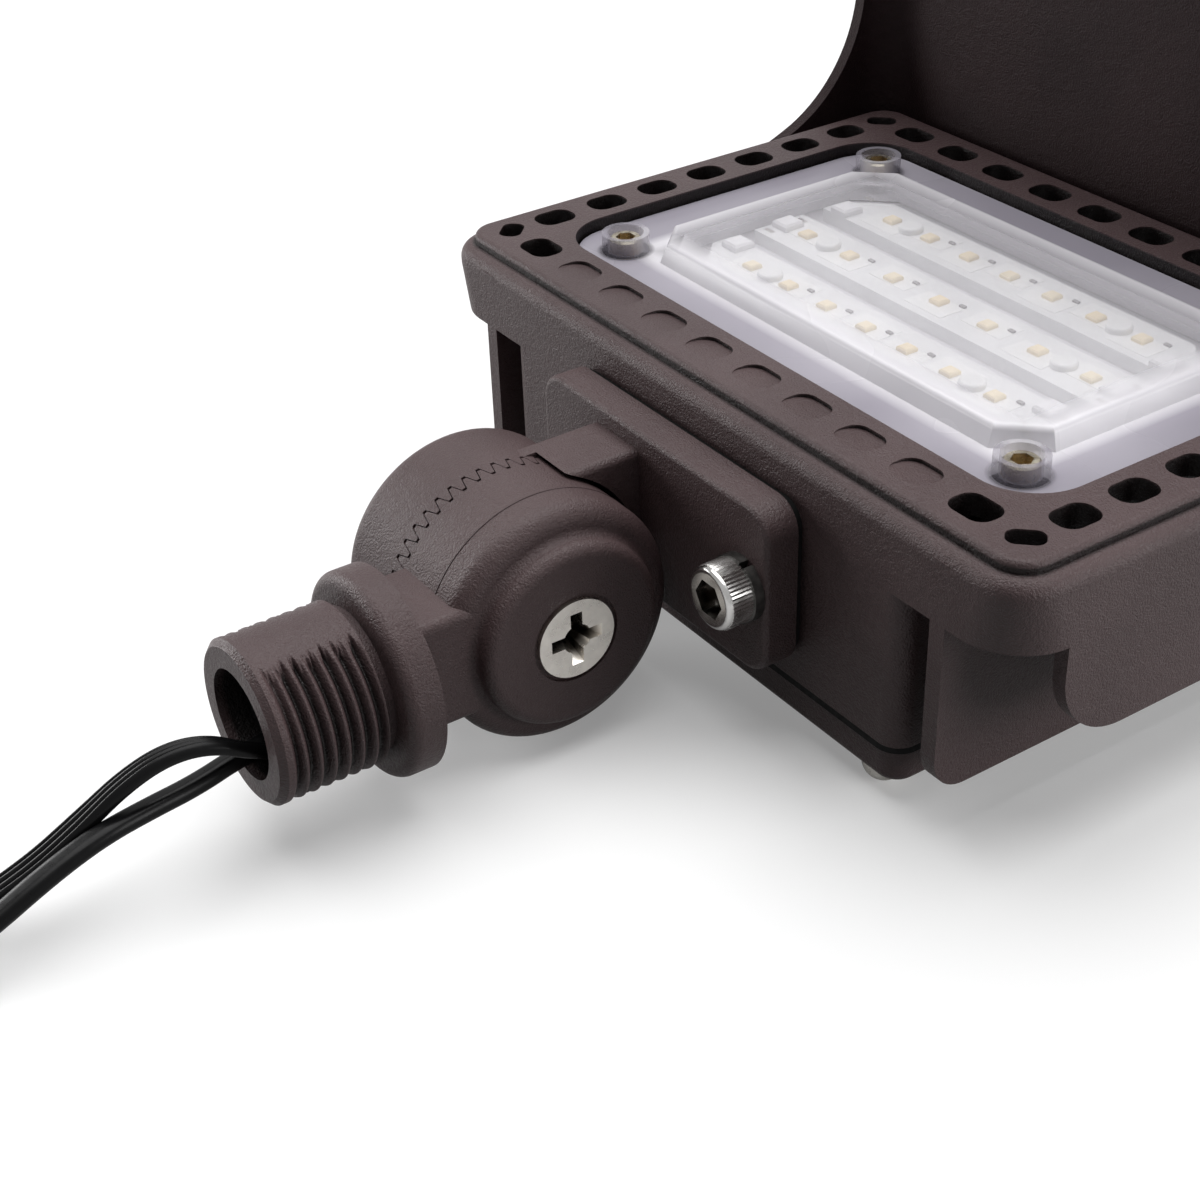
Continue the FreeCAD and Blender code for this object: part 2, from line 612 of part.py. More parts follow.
def make_fins():
    fins = []
    y0, y1 = HOUSING_FRONT, HOUSING_FRONT + FIN_REACH
    top, bottom = HOUSING_TOP - FRAME_T, HOUSING_TOP - FIN_DROP
    for side in (-1, 1):
        fin = side_block(side, FIN_X, FIN_T, y0, y1, bottom, top)
        fins.append(fin.makeFillet(FIN_CORNER, edges_along(edges_at(fin, "Z", bottom), "X")))
    return fins


def make_side_tabs():
    tabs = []
    y0, y1 = HOUSING_Y - SIDE_TAB_L / 2, HOUSING_Y + SIDE_TAB_L / 2
    bottom = HOUSING_TOP - SIDE_TAB_DROP
    for side in (-1, 1):
        tab = side_block(side, HOUSING_W / 2, SIDE_TAB_T, y0, y1, bottom, BEZEL_BOTTOM + SKIRT_T)
        tabs.append(tab.makeFillet(SIDE_TAB_ROUND, edges_along(edges_at(tab, "Z", bottom), "X")))
    return tabs


def make_bezel():
    """The rim of the casting: a skirt, a rounded lip and a flat frame that stands above it."""
    lip_top = HOUSING_TOP - LIP_DROP
    lip_low = lip_top - LIP_H
    lip = rounded_slab(HOUSING_W, HOUSING_D, HOUSING_CORNER, HOUSING_Y, lip_low, lip_top)
    lip = lip.makeFillet(LIP_ROUND, edges_at(lip, "Z", lip_top))
    skirt = rounded_loft(HOUSING_W, HOUSING_D, SKIRT_CORNER, HOUSING_CORNER, HOUSING_Y, BEZEL_BOTTOM, lip_low)
    upper = rounded_slab(HOUSING_W - 2 * TOP_INSET, HOUSING_D - 2 * TOP_INSET, HOUSING_CORNER - TOP_INSET,
                         HOUSING_Y, BEZEL_BOTTOM, HOUSING_TOP)
    upper = upper.makeFillet(TOP_ROUND, edges_at(upper, "Z", HOUSING_TOP))
    return skirt.fuse([lip, upper]).removeSplitter()


def housing_holes():
    """Screw holes for the lens, the rear cover, the mounting plate and the visor."""
    lens_low = HOUSING_TOP - LENS_SEAT - LENS_SCREW_REACH
    holes = [rod(LENS_SCREW_D, vec(x, y, lens_low), Z_AXIS, LENS_SCREW_REACH + OVERCUT)
             for x, y in corner_points(LENS_SCREW_X, LENS_SCREW_Y)]
    holes += [rod(DOME_SCREW_D, vec(x, y, BOX_BOTTOM - OVERCUT), Z_AXIS, DOME_SCREW_REACH + OVERCUT)
              for x, y in dome_points()]
    for side, depth in ((1, SOCKET_REACH), (-1, BOX_WALL + OVERCUT)):
        start = vec(side * SOCKET_X, BOX_Y0 - OVERCUT, PLATE_MID_Z)
        holes.append(rod(SOCKET_D, start, Y_AXIS, depth + OVERCUT))
    for side in (-1, 1):
        for y in VISOR_SCREW_Y:
            start = vec(side * HOUSING_W / 2, HOUSING_Y + y, HOUSING_TOP - VISOR_SCREW_DROP)
            holes.append(rod(VISOR_SCREW_D, start, X_AXIS * -side, VISOR_SCREW_REACH))
    return holes


def make_housing():
    frame_low = HOUSING_TOP - FRAME_T
    slab_low = HOUSING_TOP - SLAB_BOTTOM
    floor = HOUSING_TOP - CHAMBER_FLOOR
    box_top = BEZEL_BOTTOM + BOX_OVERLAP
    wall_w, wall_d = OPENING_W + 2 * CHAMBER_WALL, OPENING_D + 2 * CHAMBER_WALL
    channel = rounded_slab(HOUSING_W - 2 * SKIRT_T, HOUSING_D - 2 * SKIRT_T, SKIRT_CORNER - SKIRT_T,
                           HOUSING_Y, BEZEL_BOTTOM - OVERCUT, frame_low)
    inner = rounded_slab(wall_w, wall_d, OPENING_CORNER, HOUSING_Y, BEZEL_BOTTOM - OVERCUT, frame_low)
    body = make_bezel().cut(channel.cut(inner))
    slab = rounded_slab(wall_w, wall_d, OPENING_CORNER, HOUSING_Y, slab_low, box_top)
    box = rounded_slab(BOX_W, BOX_Y1 - BOX_Y0, BOX_CORNER, (BOX_Y0 + BOX_Y1) / 2, BOX_BOTTOM, box_top)
    core = block(-BOX_W / 2, BOX_W / 2, BOX_Y0 + SKIRT_T / 2, BOX_Y1 - BOX_CORNER, BEZEL_BOTTOM, frame_low)
    body = body.fuse([slab, box, core] + make_fins() + make_side_tabs()).removeSplitter()
    cavity = block(-BOX_W / 2 + BOX_WALL, BOX_W / 2 - BOX_WALL, BOX_Y0 + BOX_WALL, BOX_Y1 - BOX_WALL,
                   BOX_BOTTOM - OVERCUT, slab_low)
    bosses = [rod(DOME_BOSS_D, vec(x, y, BOX_BOTTOM), Z_AXIS, BOX_H - SLAB_BOTTOM + OVERCUT)
              for x, y in dome_points()]
    bosses.append(rod(SOCKET_HEAD_D, vec(SOCKET_X, BOX_Y0, PLATE_MID_Z), Y_AXIS, SOCKET_REACH + BOX_WALL))
    body = body.cut(cavity.cut(bosses))
    opening = rounded_slab(OPENING_W, OPENING_D, OPENING_CORNER, HOUSING_Y, HOUSING_TOP - LENS_SEAT,
                           HOUSING_TOP + OVERCUT)
    chamber = rounded_slab(CHAMBER_W, CHAMBER_D, OPENING_CORNER, HOUSING_Y, floor, HOUSING_TOP)
    lens_bosses = [rod(SCREW_BOSS_D, vec(x, y, floor), Z_AXIS, CHAMBER_FLOOR)
                   for x, y in corner_points(LENS_SCREW_X, LENS_SCREW_Y)]
    body = body.cut([opening, chamber.cut(lens_bosses)] + bezel_slots() + blind_slots())
    return body.cut(housing_holes()).removeSplitter()


def lens_outline(grow, z0, z1):
    return rounded_slab(OPENING_W - 2 * LENS_GAP + 2 * grow, OPENING_D - 2 * LENS_GAP + 2 * grow,
                        OPENING_CORNER - LENS_GAP + grow, HOUSING_Y, z0, z1)


def make_lens():
    flange_low = LENS_TOP - LENS_FLANGE_T
    top = LENS_TOP + PLATEAU_H
    flange = lens_outline(0.0, flange_low, LENS_TOP)
    plateau = cut_corner_slab(PLATEAU_W, PLATEAU_D, PLATEAU_CUT, HOUSING_Y, flange_low, top, PLATEAU_TAPER)
    plateau = plateau.makeFillet(PLATEAU_ROUND, edges_at(plateau, "Z", top))
    towers = [rod(TOWER_D, vec(x, y, flange_low), Z_AXIS, LENS_FLANGE_T + PLATEAU_H)
              for x, y in corner_points(LENS_SCREW_X, LENS_SCREW_Y)]
    body = flange.fuse([plateau] + towers).removeSplitter()
    hollow = cut_corner_slab(PLATEAU_W - 2 * LENS_WALL, PLATEAU_D - 2 * LENS_WALL,
                             PLATEAU_CUT - LENS_WALL / 2, HOUSING_Y, flange_low - OVERCUT, top - LENS_WALL,
                             PLATEAU_TAPER)
    cuts = [hollow]
    for x, y in corner_points(LENS_SCREW_X, LENS_SCREW_Y):
        cuts.append(rod(TOWER_BORE_D, vec(x, y, LENS_TOP), Z_AXIS, PLATEAU_H + OVERCUT))
        cuts.append(rod(LENS_SCREW_D + 2 * HOLE_CLEARANCE, vec(x, y, LENS_TOP - 2 * LENS_FLANGE_T), Z_AXIS,
                        2 * LENS_FLANGE_T + OVERCUT))
    return body.cut(cuts)


def make_lens_gasket():
    bottom = HOUSING_TOP - LENS_SEAT
    top = bottom + LENS_GASKET_T
    corners = corner_points(LENS_SCREW_X, LENS_SCREW_Y)
    pad = lens_outline(-LENS_GASKET_INSET, bottom, top)
    low, high = bottom - OVERCUT, top + OVERCUT
    pad = pad.cut(rounded_slab(CHAMBER_W, CHAMBER_D, OPENING_CORNER, HOUSING_Y, low, high))
    pad = pad.fuse([rod(SCREW_BOSS_D, vec(x, y, bottom), Z_AXIS, LENS_GASKET_T) for x, y in corners])
    holes = [rod(LENS_SCREW_D + 2 * HOLE_CLEARANCE, vec(x, y, low), Z_AXIS, high - low) for x, y in corners]
    return pad.removeSplitter().cut(holes)


def make_lens_screws():
    screws = []
    top = LENS_TOP + LENS_SCREW_HEAD_H
    low = HOUSING_TOP - LENS_SEAT - LENS_SCREW_REACH
    for x, y in corner_points(LENS_SCREW_X, LENS_SCREW_Y):
        head = rod(LENS_SCREW_HEAD_D, vec(x, y, LENS_TOP), Z_AXIS, LENS_SCREW_HEAD_H)
        head = head.makeChamfer(LENS_SCREW_EDGE, edges_at(head, "Z", top))
        head = head.cut(hexagon_prism(LENS_SCREW_HEX, vec(x, y, top), Z_AXIS * -1, LENS_SCREW_HEX_DEPTH))
        shank = rod(LENS_SCREW_D, vec(x, y, low), Z_AXIS, LENS_TOP - low)
        screws.append(head.fuse(shank).removeSplitter())
    return group(screws)


def make_led_tray():
    bottom = HOUSING_TOP - CHAMBER_FLOOR
    return cut_corner_slab(CHAMBER_W - 2 * TRAY_GAP, CHAMBER_D - 2 * TRAY_GAP, TRAY_CUT, HOUSING_Y, bottom,
                           bottom + TRAY_T)


def board_y(row):
    return HOUSING_Y + row * BOARD_PITCH


def make_board(row):
    y = board_y(row)
    low, high = BOARD_BOTTOM - OVERCUT, BOARD_TOP + OVERCUT
    board = block(-BOARD_L / 2, BOARD_L / 2, y - BOARD_W / 2, y + BOARD_W / 2, BOARD_BOTTOM, BOARD_TOP)
    if row != 0:
        room = cut_corner_slab(BOARD_L, PLATEAU_D - 2 * BOARD_INSET, PLATEAU_CUT, HOUSING_Y, low, high)
        board = board.common(room)
    places = [vec(side * board_screw_x(row), y, low) for side in (-1, 1)]
    return board.cut([rod(BOARD_SCREW_D + HOLE_CLEARANCE, place, Z_AXIS, high - low) for place in places])


def led_pitch(row):
    margin = MIDDLE_LED_MARGIN if row == 0 else EDGE_LED_MARGIN
    return (BOARD_L - 2 * margin) / (LED_COUNT - 1)


def board_screw_x(row):
    return (LED_COUNT - 2) / 2 * led_pitch(row)


def small_block(size_x, size_y, x, y, height, edge):
    """A small part on a board, with its top edges broken."""
    top = BOARD_TOP + height
    part = block(x - size_x / 2, x + size_x / 2, y - size_y / 2, y + size_y / 2, BOARD_TOP, top)
    return part.makeChamfer(edge, edges_at(part, "Z", top))


def make_leds():
    chips = []
    for row in (-1, 0, 1):
        for k in range(LED_COUNT):
            x = (k - (LED_COUNT - 1) / 2) * led_pitch(row)
            chips.append(small_block(LED_SIZE, LED_SIZE, x, board_y(row), LED_H, LED_EDGE))
    return group(chips)


def make_connectors():
    plugs = []
    for row in (-1, 0, 1):
        for side in (-1, 1):
            x = side * (BOARD_L / 2 - CONNECTOR_INSET - abs(row) * EDGE_ROW_DRAW_IN - CONNECTOR_L / 2)
            y = board_y(row) - row * (BOARD_W - CONNECTOR_W) / 2
            plugs.append(small_block(CONNECTOR_L, CONNECTOR_W, x, y, CONNECTOR_H, CONNECTOR_EDGE))
    return group(plugs)


def make_board_screws():
    screws = []
    for row in (-1, 0, 1):
        for side in (-1, 1):
            start = vec(side * board_screw_x(row), board_y(row), BOARD_TOP)
            head = rod(BOARD_SCREW_HEAD_D, start, Z_AXIS, BOARD_SCREW_HEAD_H)
            head = head.makeFillet(BOARD_SCREW_ROUND, edges_at(head, "Z", BOARD_TOP + BOARD_SCREW_HEAD_H))
            shank = rod(BOARD_SCREW_D, start - vec(0, 0, BOARD_T), Z_AXIS, BOARD_T)
            screws.append(head.fuse(shank).removeSplitter())
    return group(screws)


def make_driver():
    gap = BOX_WALL + DRIVER_GAP
    top = HOUSING_TOP - SLAB_BOTTOM
    reach = SOCKET_REACH + DRIVER_GAP
    driver = block(-BOX_W / 2 + gap, BOX_W / 2 - gap, BOX_Y0 + BOX_WALL + reach, BOX_Y1 - gap - DOME_BOSS_D,
                   top - DRIVER_H, top)
    return driver.makeFillet(DRIVER_ROUND, edges_along(driver.Edges, "Z"))


def cover_outline(grow, z0, z1):
    y0, y1 = BOX_Y0 + COVER_INSET - grow, BOX_Y1 - COVER_INSET + grow
    return rounded_slab(BOX_W - 2 * COVER_INSET + 2 * grow, y1 - y0, BOX_CORNER + grow, (y0 + y1) / 2, z0, z1)


def make_cover_gasket():
    outline = cover_outline(COVER_GASKET_LIP, COVER_TOP, BOX_BOTTOM)
    window = block(-BOX_W / 2 + COVER_GASKET_RIM, BOX_W / 2 - COVER_GASKET_RIM, BOX_Y0 + COVER_GASKET_RIM,
                   BOX_Y1 - COVER_GASKET_RIM, COVER_TOP - OVERCUT, BOX_BOTTOM + OVERCUT)
    ears = [rod(DOME_BOSS_D, vec(x, y, COVER_TOP), Z_AXIS, COVER_GASKET_T) for x, y in dome_points()]
    pad = outline.cut(window).fuse(ears).removeSplitter().common(outline)
    return pad.cut(cover_holes(COVER_TOP, BOX_BOTTOM))


def cover_holes(z0, z1):
    return [rod(DOME_SCREW_D + 2 * HOLE_CLEARANCE, vec(x, y, z0 - OVERCUT), Z_AXIS, z1 - z0 + 2 * OVERCUT)
            for x, y in dome_points()]


def make_rear_cover():
    cover = cover_outline(0.0, COVER_BOTTOM, COVER_TOP)
    cover = cover.makeFillet(COVER_ROUND, edges_at(cover, "Z", COVER_BOTTOM))
    return cover.cut(cover_holes(COVER_BOTTOM, COVER_TOP))


def make_dome_screws():
    screws = []
    for x, y in dome_points():
        seat = vec(x, y, COVER_BOTTOM)
        head = dome_head(DOME_D, DOME_H, seat, Z_AXIS * -1)
        shank = rod(DOME_SCREW_D, seat, Z_AXIS, COVER_T + COVER_GASKET_T + DOME_SCREW_REACH)
        screws.append(head.fuse(shank).removeSplitter())
    return group(screws)


def visor_wing_face():
    """Side view of the visor: a low lip, a bend and a straight edge that leans back to the tip."""
    low, high = math.radians(VISOR_LOW_ANGLE), math.radians(VISOR_HIGH_ANGLE)
    back_y = HOUSING_D / 2 + VISOR_T
    start = vec(0, VISOR_FRONT_Y, VISOR_FRONT_Z)
    tip = vec(0, back_y - VISOR_T - VISOR_TIP, VISOR_H)
    low_dir = vec(0, math.cos(low), math.sin(low))
    high_dir = vec(0, math.cos(high), math.sin(high))
    span = tip - start
    turn = low_dir.y * high_dir.z - low_dir.z * high_dir.y
    along = (span.y * high_dir.z - span.z * high_dir.y) / turn
    corner = start + low_dir * along
    trim = VISOR_BEND * math.tan((high - low) / 2)
    bend_start = corner - low_dir * trim
    bend_end = corner + high_dir * trim
    normal = vec(0, -math.sin(low), math.cos(low))
    centre = bend_start + normal * VISOR_BEND
    mid_dir = (corner - centre)
    middle = centre + mid_dir * (VISOR_BEND / mid_dir.Length)
    bottom = -VISOR_OVERLAP
    edges = [Part.LineSegment(start, bend_start), Part.Arc(bend_start, middle, bend_end),
             Part.LineSegment(bend_end, tip), Part.LineSegment(tip, vec(0, back_y, VISOR_H)),
             Part.LineSegment(vec(0, back_y, VISOR_H), vec(0, back_y, bottom)),
             Part.LineSegment(vec(0, back_y, bottom), vec(0, VISOR_FRONT_Y, bottom)),
             Part.LineSegment(vec(0, VISOR_FRONT_Y, bottom), start)]
    face = Part.Face(Part.Wire([e.toShape() for e in edges]))
    face.translate(vec(0, HOUSING_Y, HOUSING_TOP))
    return face


def make_visor():
    half = HOUSING_W / 2 + VISOR_T
    face = visor_wing_face()
    face.translate(vec(-half, 0, 0))
    solid = face.extrude(vec(2 * half, 0, 0))
    back = HOUSING_Y + HOUSING_D / 2 + VISOR_T
    solid = solid.makeFillet(HOUSING_CORNER + VISOR_T, edges_along(edges_at(solid, "Y", back), "Z"))
    inner = rounded_slab(HOUSING_W, 2 * HOUSING_D, HOUSING_CORNER, HOUSING_Y - HOUSING_D / 2,
                         HOUSING_TOP - VISOR_OVERLAP - OVERCUT, HOUSING_TOP + VISOR_H + OVERCUT)
    holes = []
    for side in (-1, 1):
        for y in VISOR_SCREW_Y:
            start = vec(side * (HOUSING_W / 2 - OVERCUT), HOUSING_Y + y, HOUSING_TOP - VISOR_SCREW_DROP)
            holes.append(rod(VISOR_SCREW_D + 2 * HOLE_CLEARANCE, start, X_AXIS * side, VISOR_T + 2 * OVERCUT))
    return solid.cut(inner).cut(holes)


def make_visor_screws():
    screws = []
    for side in (-1, 1):
        for y in VISOR_SCREW_Y:
            seat = vec(side * (HOUSING_W / 2 + VISOR_T), HOUSING_Y + y, HOUSING_TOP - VISOR_SCREW_DROP)
            head = dome_head(VISOR_SCREW_HEAD_D, VISOR_SCREW_HEAD_H, seat, X_AXIS * side)
            shank = rod(VISOR_SCREW_D, seat, X_AXIS * -side, VISOR_T + VISOR_SCREW_REACH)
            screws.append(head.fuse(shank).removeSplitter())
    return group(screws)


def make_lead_seal(leads):
    """The plug that closes the nipple behind the leads, with a pocket for each lead's end."""
    return rod(BORE_D, vec(0, LEAD_START_Y - LEAD_ENTRY, 0), Y_AXIS, LEAD_SEAL_T).cut(leads)


def make_lead(name, route):
    """A round tube on straight runs joined by tangent arcs as large as the runs allow."""
    points = [vec(*p) for p in route]
    edges = []
    here = points[0]
    length = 0.0
    radii = []
    for before, corner, after in zip(points, points[1:], points[2:]):
        back, ahead = before - corner, after - corner
        half_turn = (math.pi - back.getAngle(ahead)) / 2
        trim = ARC_SHARE * min(back.Length, ahead.Length)
        radius = trim / math.tan(half_turn)
        back.normalize()
        ahead.normalize()
        arc_start, arc_end = corner + back * trim, corner + ahead * trim
        middle_dir = back + ahead
        middle_dir.normalize()
        middle = corner + middle_dir * (radius / math.cos(half_turn) - radius)
        edges += [Part.LineSegment(here, arc_start).toShape(), Part.Arc(arc_start, middle, arc_end).toShape()]
        length += (arc_start - here).Length + radius * 2 * half_turn
        radii.append(round(radius, 1))
        here = arc_end
    edges.append(Part.LineSegment(here, points[-1]).toShape())
    length += (points[-1] - here).Length
    ring = Part.Wire([Part.makeCircle(LEAD_D / 2, points[0], points[1] - points[0])])
    tube = Part.Wire(edges).makePipeShell([ring], True, False)
    ratio = tube.Volume / (math.pi * LEAD_D ** 2 / 4 * length)
    print(name, "length", round(length, 1), "radii", radii, "volume ratio", round(ratio, 4))
    return tube


def make_lead_cores():
    """Stripped copper cores at the free end of each lead."""
    cores = []
    for route, count in ((POWER_LEAD_ROUTE, POWER_CORE_COUNT), (CONTROL_LEAD_ROUTE, CONTROL_CORE_COUNT)):
        end = vec(*route[-1])
        ahead = end - vec(*route[-2])
        ahead.normalize()
        across = ahead.cross(Z_AXIS)
        across.normalize()
        for k in range(count):
            start = end + across * ((k - (count - 1) / 2) * CORE_PITCH)
            cores.append(rod(CORE_D, start, ahead, CORE_L))
    return group(cores)


PIECES = {
    "knuckle_base": make_knuckle_base,
    "clamp_screw": make_clamp_screw,
    "lead_cores": make_lead_cores,
    "knuckle_seal": make_knuckle_seal,
    "knuckle_head": make_knuckle_head,
    "clamp_insert": make_clamp_insert,
    "plate_gasket": make_plate_gasket,
    "plate_screw": make_plate_screw,
    "plate_spring_washer": make_plate_washer,
    "plate_inner_screw": make_plate_inner_screw,
    "housing": make_housing,
    "lens": make_lens,
    "lens_gasket": make_lens_gasket,
    "lens_screws": make_lens_screws,
    "led_tray": make_led_tray,
    "leds": make_leds,
    "board_connectors": make_connectors,
    "board_screws": make_board_screws,
    "driver_module": make_driver,
    "rear_cover_gasket": make_cover_gasket,
    "rear_cover": make_rear_cover,
    "rear_cover_screws": make_dome_screws,
    "visor": make_visor,
    "visor_screws": make_visor_screws,
}


def main():
    os.makedirs("parts", exist_ok=True)
    shapes = {name: make() for name, make in PIECES.items()}
    shapes["power_lead"] = make_lead("power_lead", POWER_LEAD_ROUTE)
    shapes["control_lead"] = make_lead("control_lead", CONTROL_LEAD_ROUTE)
    shapes["lead_seal"] = make_lead_seal([shapes["power_lead"], shapes["control_lead"]])
    for name, row in (("led_board_near", -1), ("led_board_middle", 0), ("led_board_far", 1)):
        shapes[name] = make_board(row)
    for name, shape in shapes.items():
        print(name, "solids", len(shape.Solids), "valid", shape.isValid(), "volume", round(shape.Volume, 1))
        shape.exportStep("parts/" + name + ".step")


main()
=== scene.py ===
import math

import bmesh
import bpy
from mathutils import Matrix, Vector


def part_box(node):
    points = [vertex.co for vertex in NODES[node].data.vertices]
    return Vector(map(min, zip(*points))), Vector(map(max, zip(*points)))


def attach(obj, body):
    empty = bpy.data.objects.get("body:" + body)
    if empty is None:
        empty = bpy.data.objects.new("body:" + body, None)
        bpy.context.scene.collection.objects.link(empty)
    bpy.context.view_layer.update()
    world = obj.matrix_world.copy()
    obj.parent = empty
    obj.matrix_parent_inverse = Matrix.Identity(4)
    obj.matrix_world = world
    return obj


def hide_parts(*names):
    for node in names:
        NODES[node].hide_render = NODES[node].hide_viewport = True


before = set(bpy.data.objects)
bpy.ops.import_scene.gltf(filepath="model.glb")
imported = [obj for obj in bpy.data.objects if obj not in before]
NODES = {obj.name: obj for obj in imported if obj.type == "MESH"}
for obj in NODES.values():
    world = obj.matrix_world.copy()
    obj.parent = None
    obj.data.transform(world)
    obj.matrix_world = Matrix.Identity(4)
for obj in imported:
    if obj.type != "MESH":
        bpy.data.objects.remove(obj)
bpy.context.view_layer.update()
MM = 0.001
WELD = 1e-7
FULL_TURN = 2 * math.pi
X, Y, Z = range(3)

# Camera of the photo in the part's frame
EYE = Vector((184.5, -83.1, 143.1)) * MM
LOOK = Vector((-0.69937, 0.45345, -0.55250))
ROLL = -0.037
LENS_MM = 61.58
SENSOR_MM = 36.0
CLIP_START = 5.0 * MM

# Paper table that the light lies on, and how bright it and the studio round it are
FLOOR_Z = -17.6 * MM
FLOOR_HALF = 3.0
FLOOR_GLOW = 0.25
PAPER_SEEN = (0.95, 0.95, 0.95)
PAPER_BOUNCE = (0.1, 0.1, 0.1)
WORLD_LIGHT = 0.03
MIRRORED = 0.5

# Leads: route points as in the part's source, and the jackets' sections
POWER_ROUTE = [(2.4, -9.0, -4.7), (2.4, -13.8, -2.6), (1.7, -18.6, 0.4), (0.8, -23.6, 0.7),
               (-0.2, -28.8, -1.6), (-1.3, -34.2, -5.7), (-2.2, -40.8, -9.9), (-3.2, -49.4, -13.3),
               (-5.4, -60.5, -15.6), (-10.0, -76.0, -16.2), (-14.5, -95.0, -16.1), (-15.0, -113.5, -16.2)]
CONTROL_ROUTE = [(-1.2, -9.0, -4.6), (-0.9, -14.5, -5.0), (-0.2, -20.5, -6.0), (0.9, -27.2, -5.8),
                 (2.2, -33.6, -5.7), (2.8, -40.4, -7.6), (3.2, -48.0, -10.9), (3.6, -57.5, -14.2),
                 (3.9, -69.5, -16.0), (2.2, -85.0, -16.2), (-1.0, -102.0, -16.1), (-0.5, -118.0, -16.2)]
POWER_SECTION = {"width": 3.9 * MM, "thickness": 1.9 * MM, "cores": 4, "groove": 0.7}
CONTROL_SECTION = {"width": 3.2 * MM, "thickness": 2.2 * MM, "cores": 1, "groove": 0.0}
POWER_ROLL = 0.5
CONTROL_ROLL = 0.3
ROLL_FADE = 2.2
STEPS_PER_CORE = 10
ROUTE_STEPS = 14

# Thread of the nipple, between a flat above and one below
THREAD_R = 10.5 * MM
THREAD_PITCH = 25.4 / 14 * MM
THREAD_DEPTH = 1.15 * MM
THREAD_START = -12.6 * MM
THREAD_FLAT = math.radians(26)
THREAD_SIDES = 180
THREAD_STEPS = 150
LEAD_IN = 0.6 * THREAD_PITCH
LEAD_OUT = 0.2 * THREAD_PITCH
VALLEY_POWER = 1.1
FLAT_FADE = math.radians(7)
RAGGED = ((math.radians(3), 9), (math.radians(2), 23))
# Painted shade fills the thread's valleys inside this radius and fades out by the crest radius
VALLEY_R = THREAD_R - 0.9 * THREAD_DEPTH
CREST_R = THREAD_R - 0.3 * THREAD_DEPTH
NIPPLE_TIP = -13.2 * MM
RADIUS_SLACK = 0.02 * MM
END_SLACK = 0.01 * MM

# Clear window and clear screw towers of the lens, inside its frosted border
WINDOW_HALF_X = 36.5 * MM
WINDOW_HALF_Y = 20.0 * MM
WINDOW_FADE = (-3.0 * MM, 1.5 * MM)
WINDOW_ALPHA = 0.2
BORDER_ALPHA = 0.86
RIM_FADE = (2.4 * MM, 4.5 * MM)
TOWER_X = 39.9 * MM
TOWER_Y = 23.4 * MM
TOWER_R = 3.6 * MM
TOWER_FADE = 0.6 * MM
TOWER_ALPHA = 0.45

# Bezel round the lens, with painted shade down in its slots and along the crease beside its lip
BEZEL_Y = 92.4 * MM
BEZEL_HALF_X = 55.6 * MM
BEZEL_HALF_Y = 38.4 * MM
BEZEL_TOP = 24.6 * MM
BEZEL_BOTTOM = 13.7 * MM
SLOT_FADE = 2.0 * MM
UPRIGHT = (0.3, 0.8)
OUTLINE_HALF_X = 59.2 * MM
OUTLINE_HALF_Y = 42.0 * MM
OUTLINE_CORNER = 6.2 * MM
CREASE_INSET = 2.15 * MM
CREASE_FADE = 0.6 * MM
CREASE_TOP = 24.3 * MM
CREASE_LOW = 22.6 * MM
EDGE_FADE = 0.3 * MM
# Colour of the painted shade in the bezel's slots and crease and in the thread's valleys
PAINTED_SHADE_COLOUR = (0.008, 0.005, 0.005)

# Small parts on the LED boards
BOARDS = ("led_board_near", "led_board_middle", "led_board_far")
PAD_HALF = (3.6 * MM, 2.2 * MM)
PAD_T = 0.06 * MM
PAD_STEP = 0.9 * MM
CHIP_HALF = (0.5 * MM, 0.28 * MM)
CHIP_T = 0.25 * MM
CHIP_PLACE = (3.0 * MM, 1.5 * MM)
JOINT_HALF = (0.9 * MM, 0.35 * MM)
JOINT_INSET = 1.6 * MM
JOINT_EDGE = 1.5 * MM

# Knurl of the socket screw's head
KNURL_RIDGES = 52
KNURL_H = 0.14 * MM
KNURL_SUNK = 0.3 * MM
HEAD_L = 3.8 * MM
HEAD_EDGE = 0.7 * MM

# Painted shade down in the recesses of the screws, and brass down in the lens screws' recess
RECESS_SHADE_COLOUR = (0.07, 0.06, 0.05)
RECESS_START = 0.2 * MM
RECESS_FADE = 1.6 * MM
SOCKET_START = 0.1 * MM
SOCKET_END = 0.9 * MM
HEX_R = 2.3 * MM
BRASS_INNER = (0.4, 0.27, 0.1)

# Mould line round the knuckle's base half
MOULD_LINE_X = 0.3 * MM
MOULD_LINE_H = 0.12 * MM
MOULD_LINE_START = math.radians(20)
MOULD_LINE_SWEEP = math.radians(140)
MOULD_LINE_STEPS = 60

# Places of the colour sockets on a mix node
MIX_SHARE = 0
MIX_FIRST = 6
MIX_SECOND = 7
MIX_RESULT = 2

# Finishes that several materials share
COAT = {"dark": (0.07, 0.045, 0.046), "light": (0.088, 0.058, 0.059), "gloss": 0.3}
CHROME = {"dark": (0.6, 0.59, 0.57), "light": (0.72, 0.71, 0.7), "rough": (0.14, 0.26)}


def make_camera():
    right = LOOK.cross(Vector((0, 0, 1))).normalized()
    up = right.cross(LOOK).normalized()
    across = math.cos(ROLL) * right + math.sin(ROLL) * up
    upward = math.cos(ROLL) * up - math.sin(ROLL) * right
    data = bpy.data.cameras.new("camera")
    data.lens = LENS_MM
    data.sensor_width = SENSOR_MM
    data.clip_start = CLIP_START
    camera = bpy.data.objects.new("camera", data)
    turn = Matrix((across, upward, -LOOK)).transposed().to_4x4()
    camera.matrix_world = Matrix.Translation(EYE) @ turn
    bpy.context.scene.collection.objects.link(camera)
    bpy.context.scene.camera = camera


def add_object(name, mesh, material, body):
    """A new piece that rides on a body and takes the given material."""
    piece = bpy.data.objects.new(name, mesh)
    bpy.context.scene.collection.objects.link(piece)
    mesh.materials.clear()
    mesh.materials.append(material)
    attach(piece, body)
    return piece


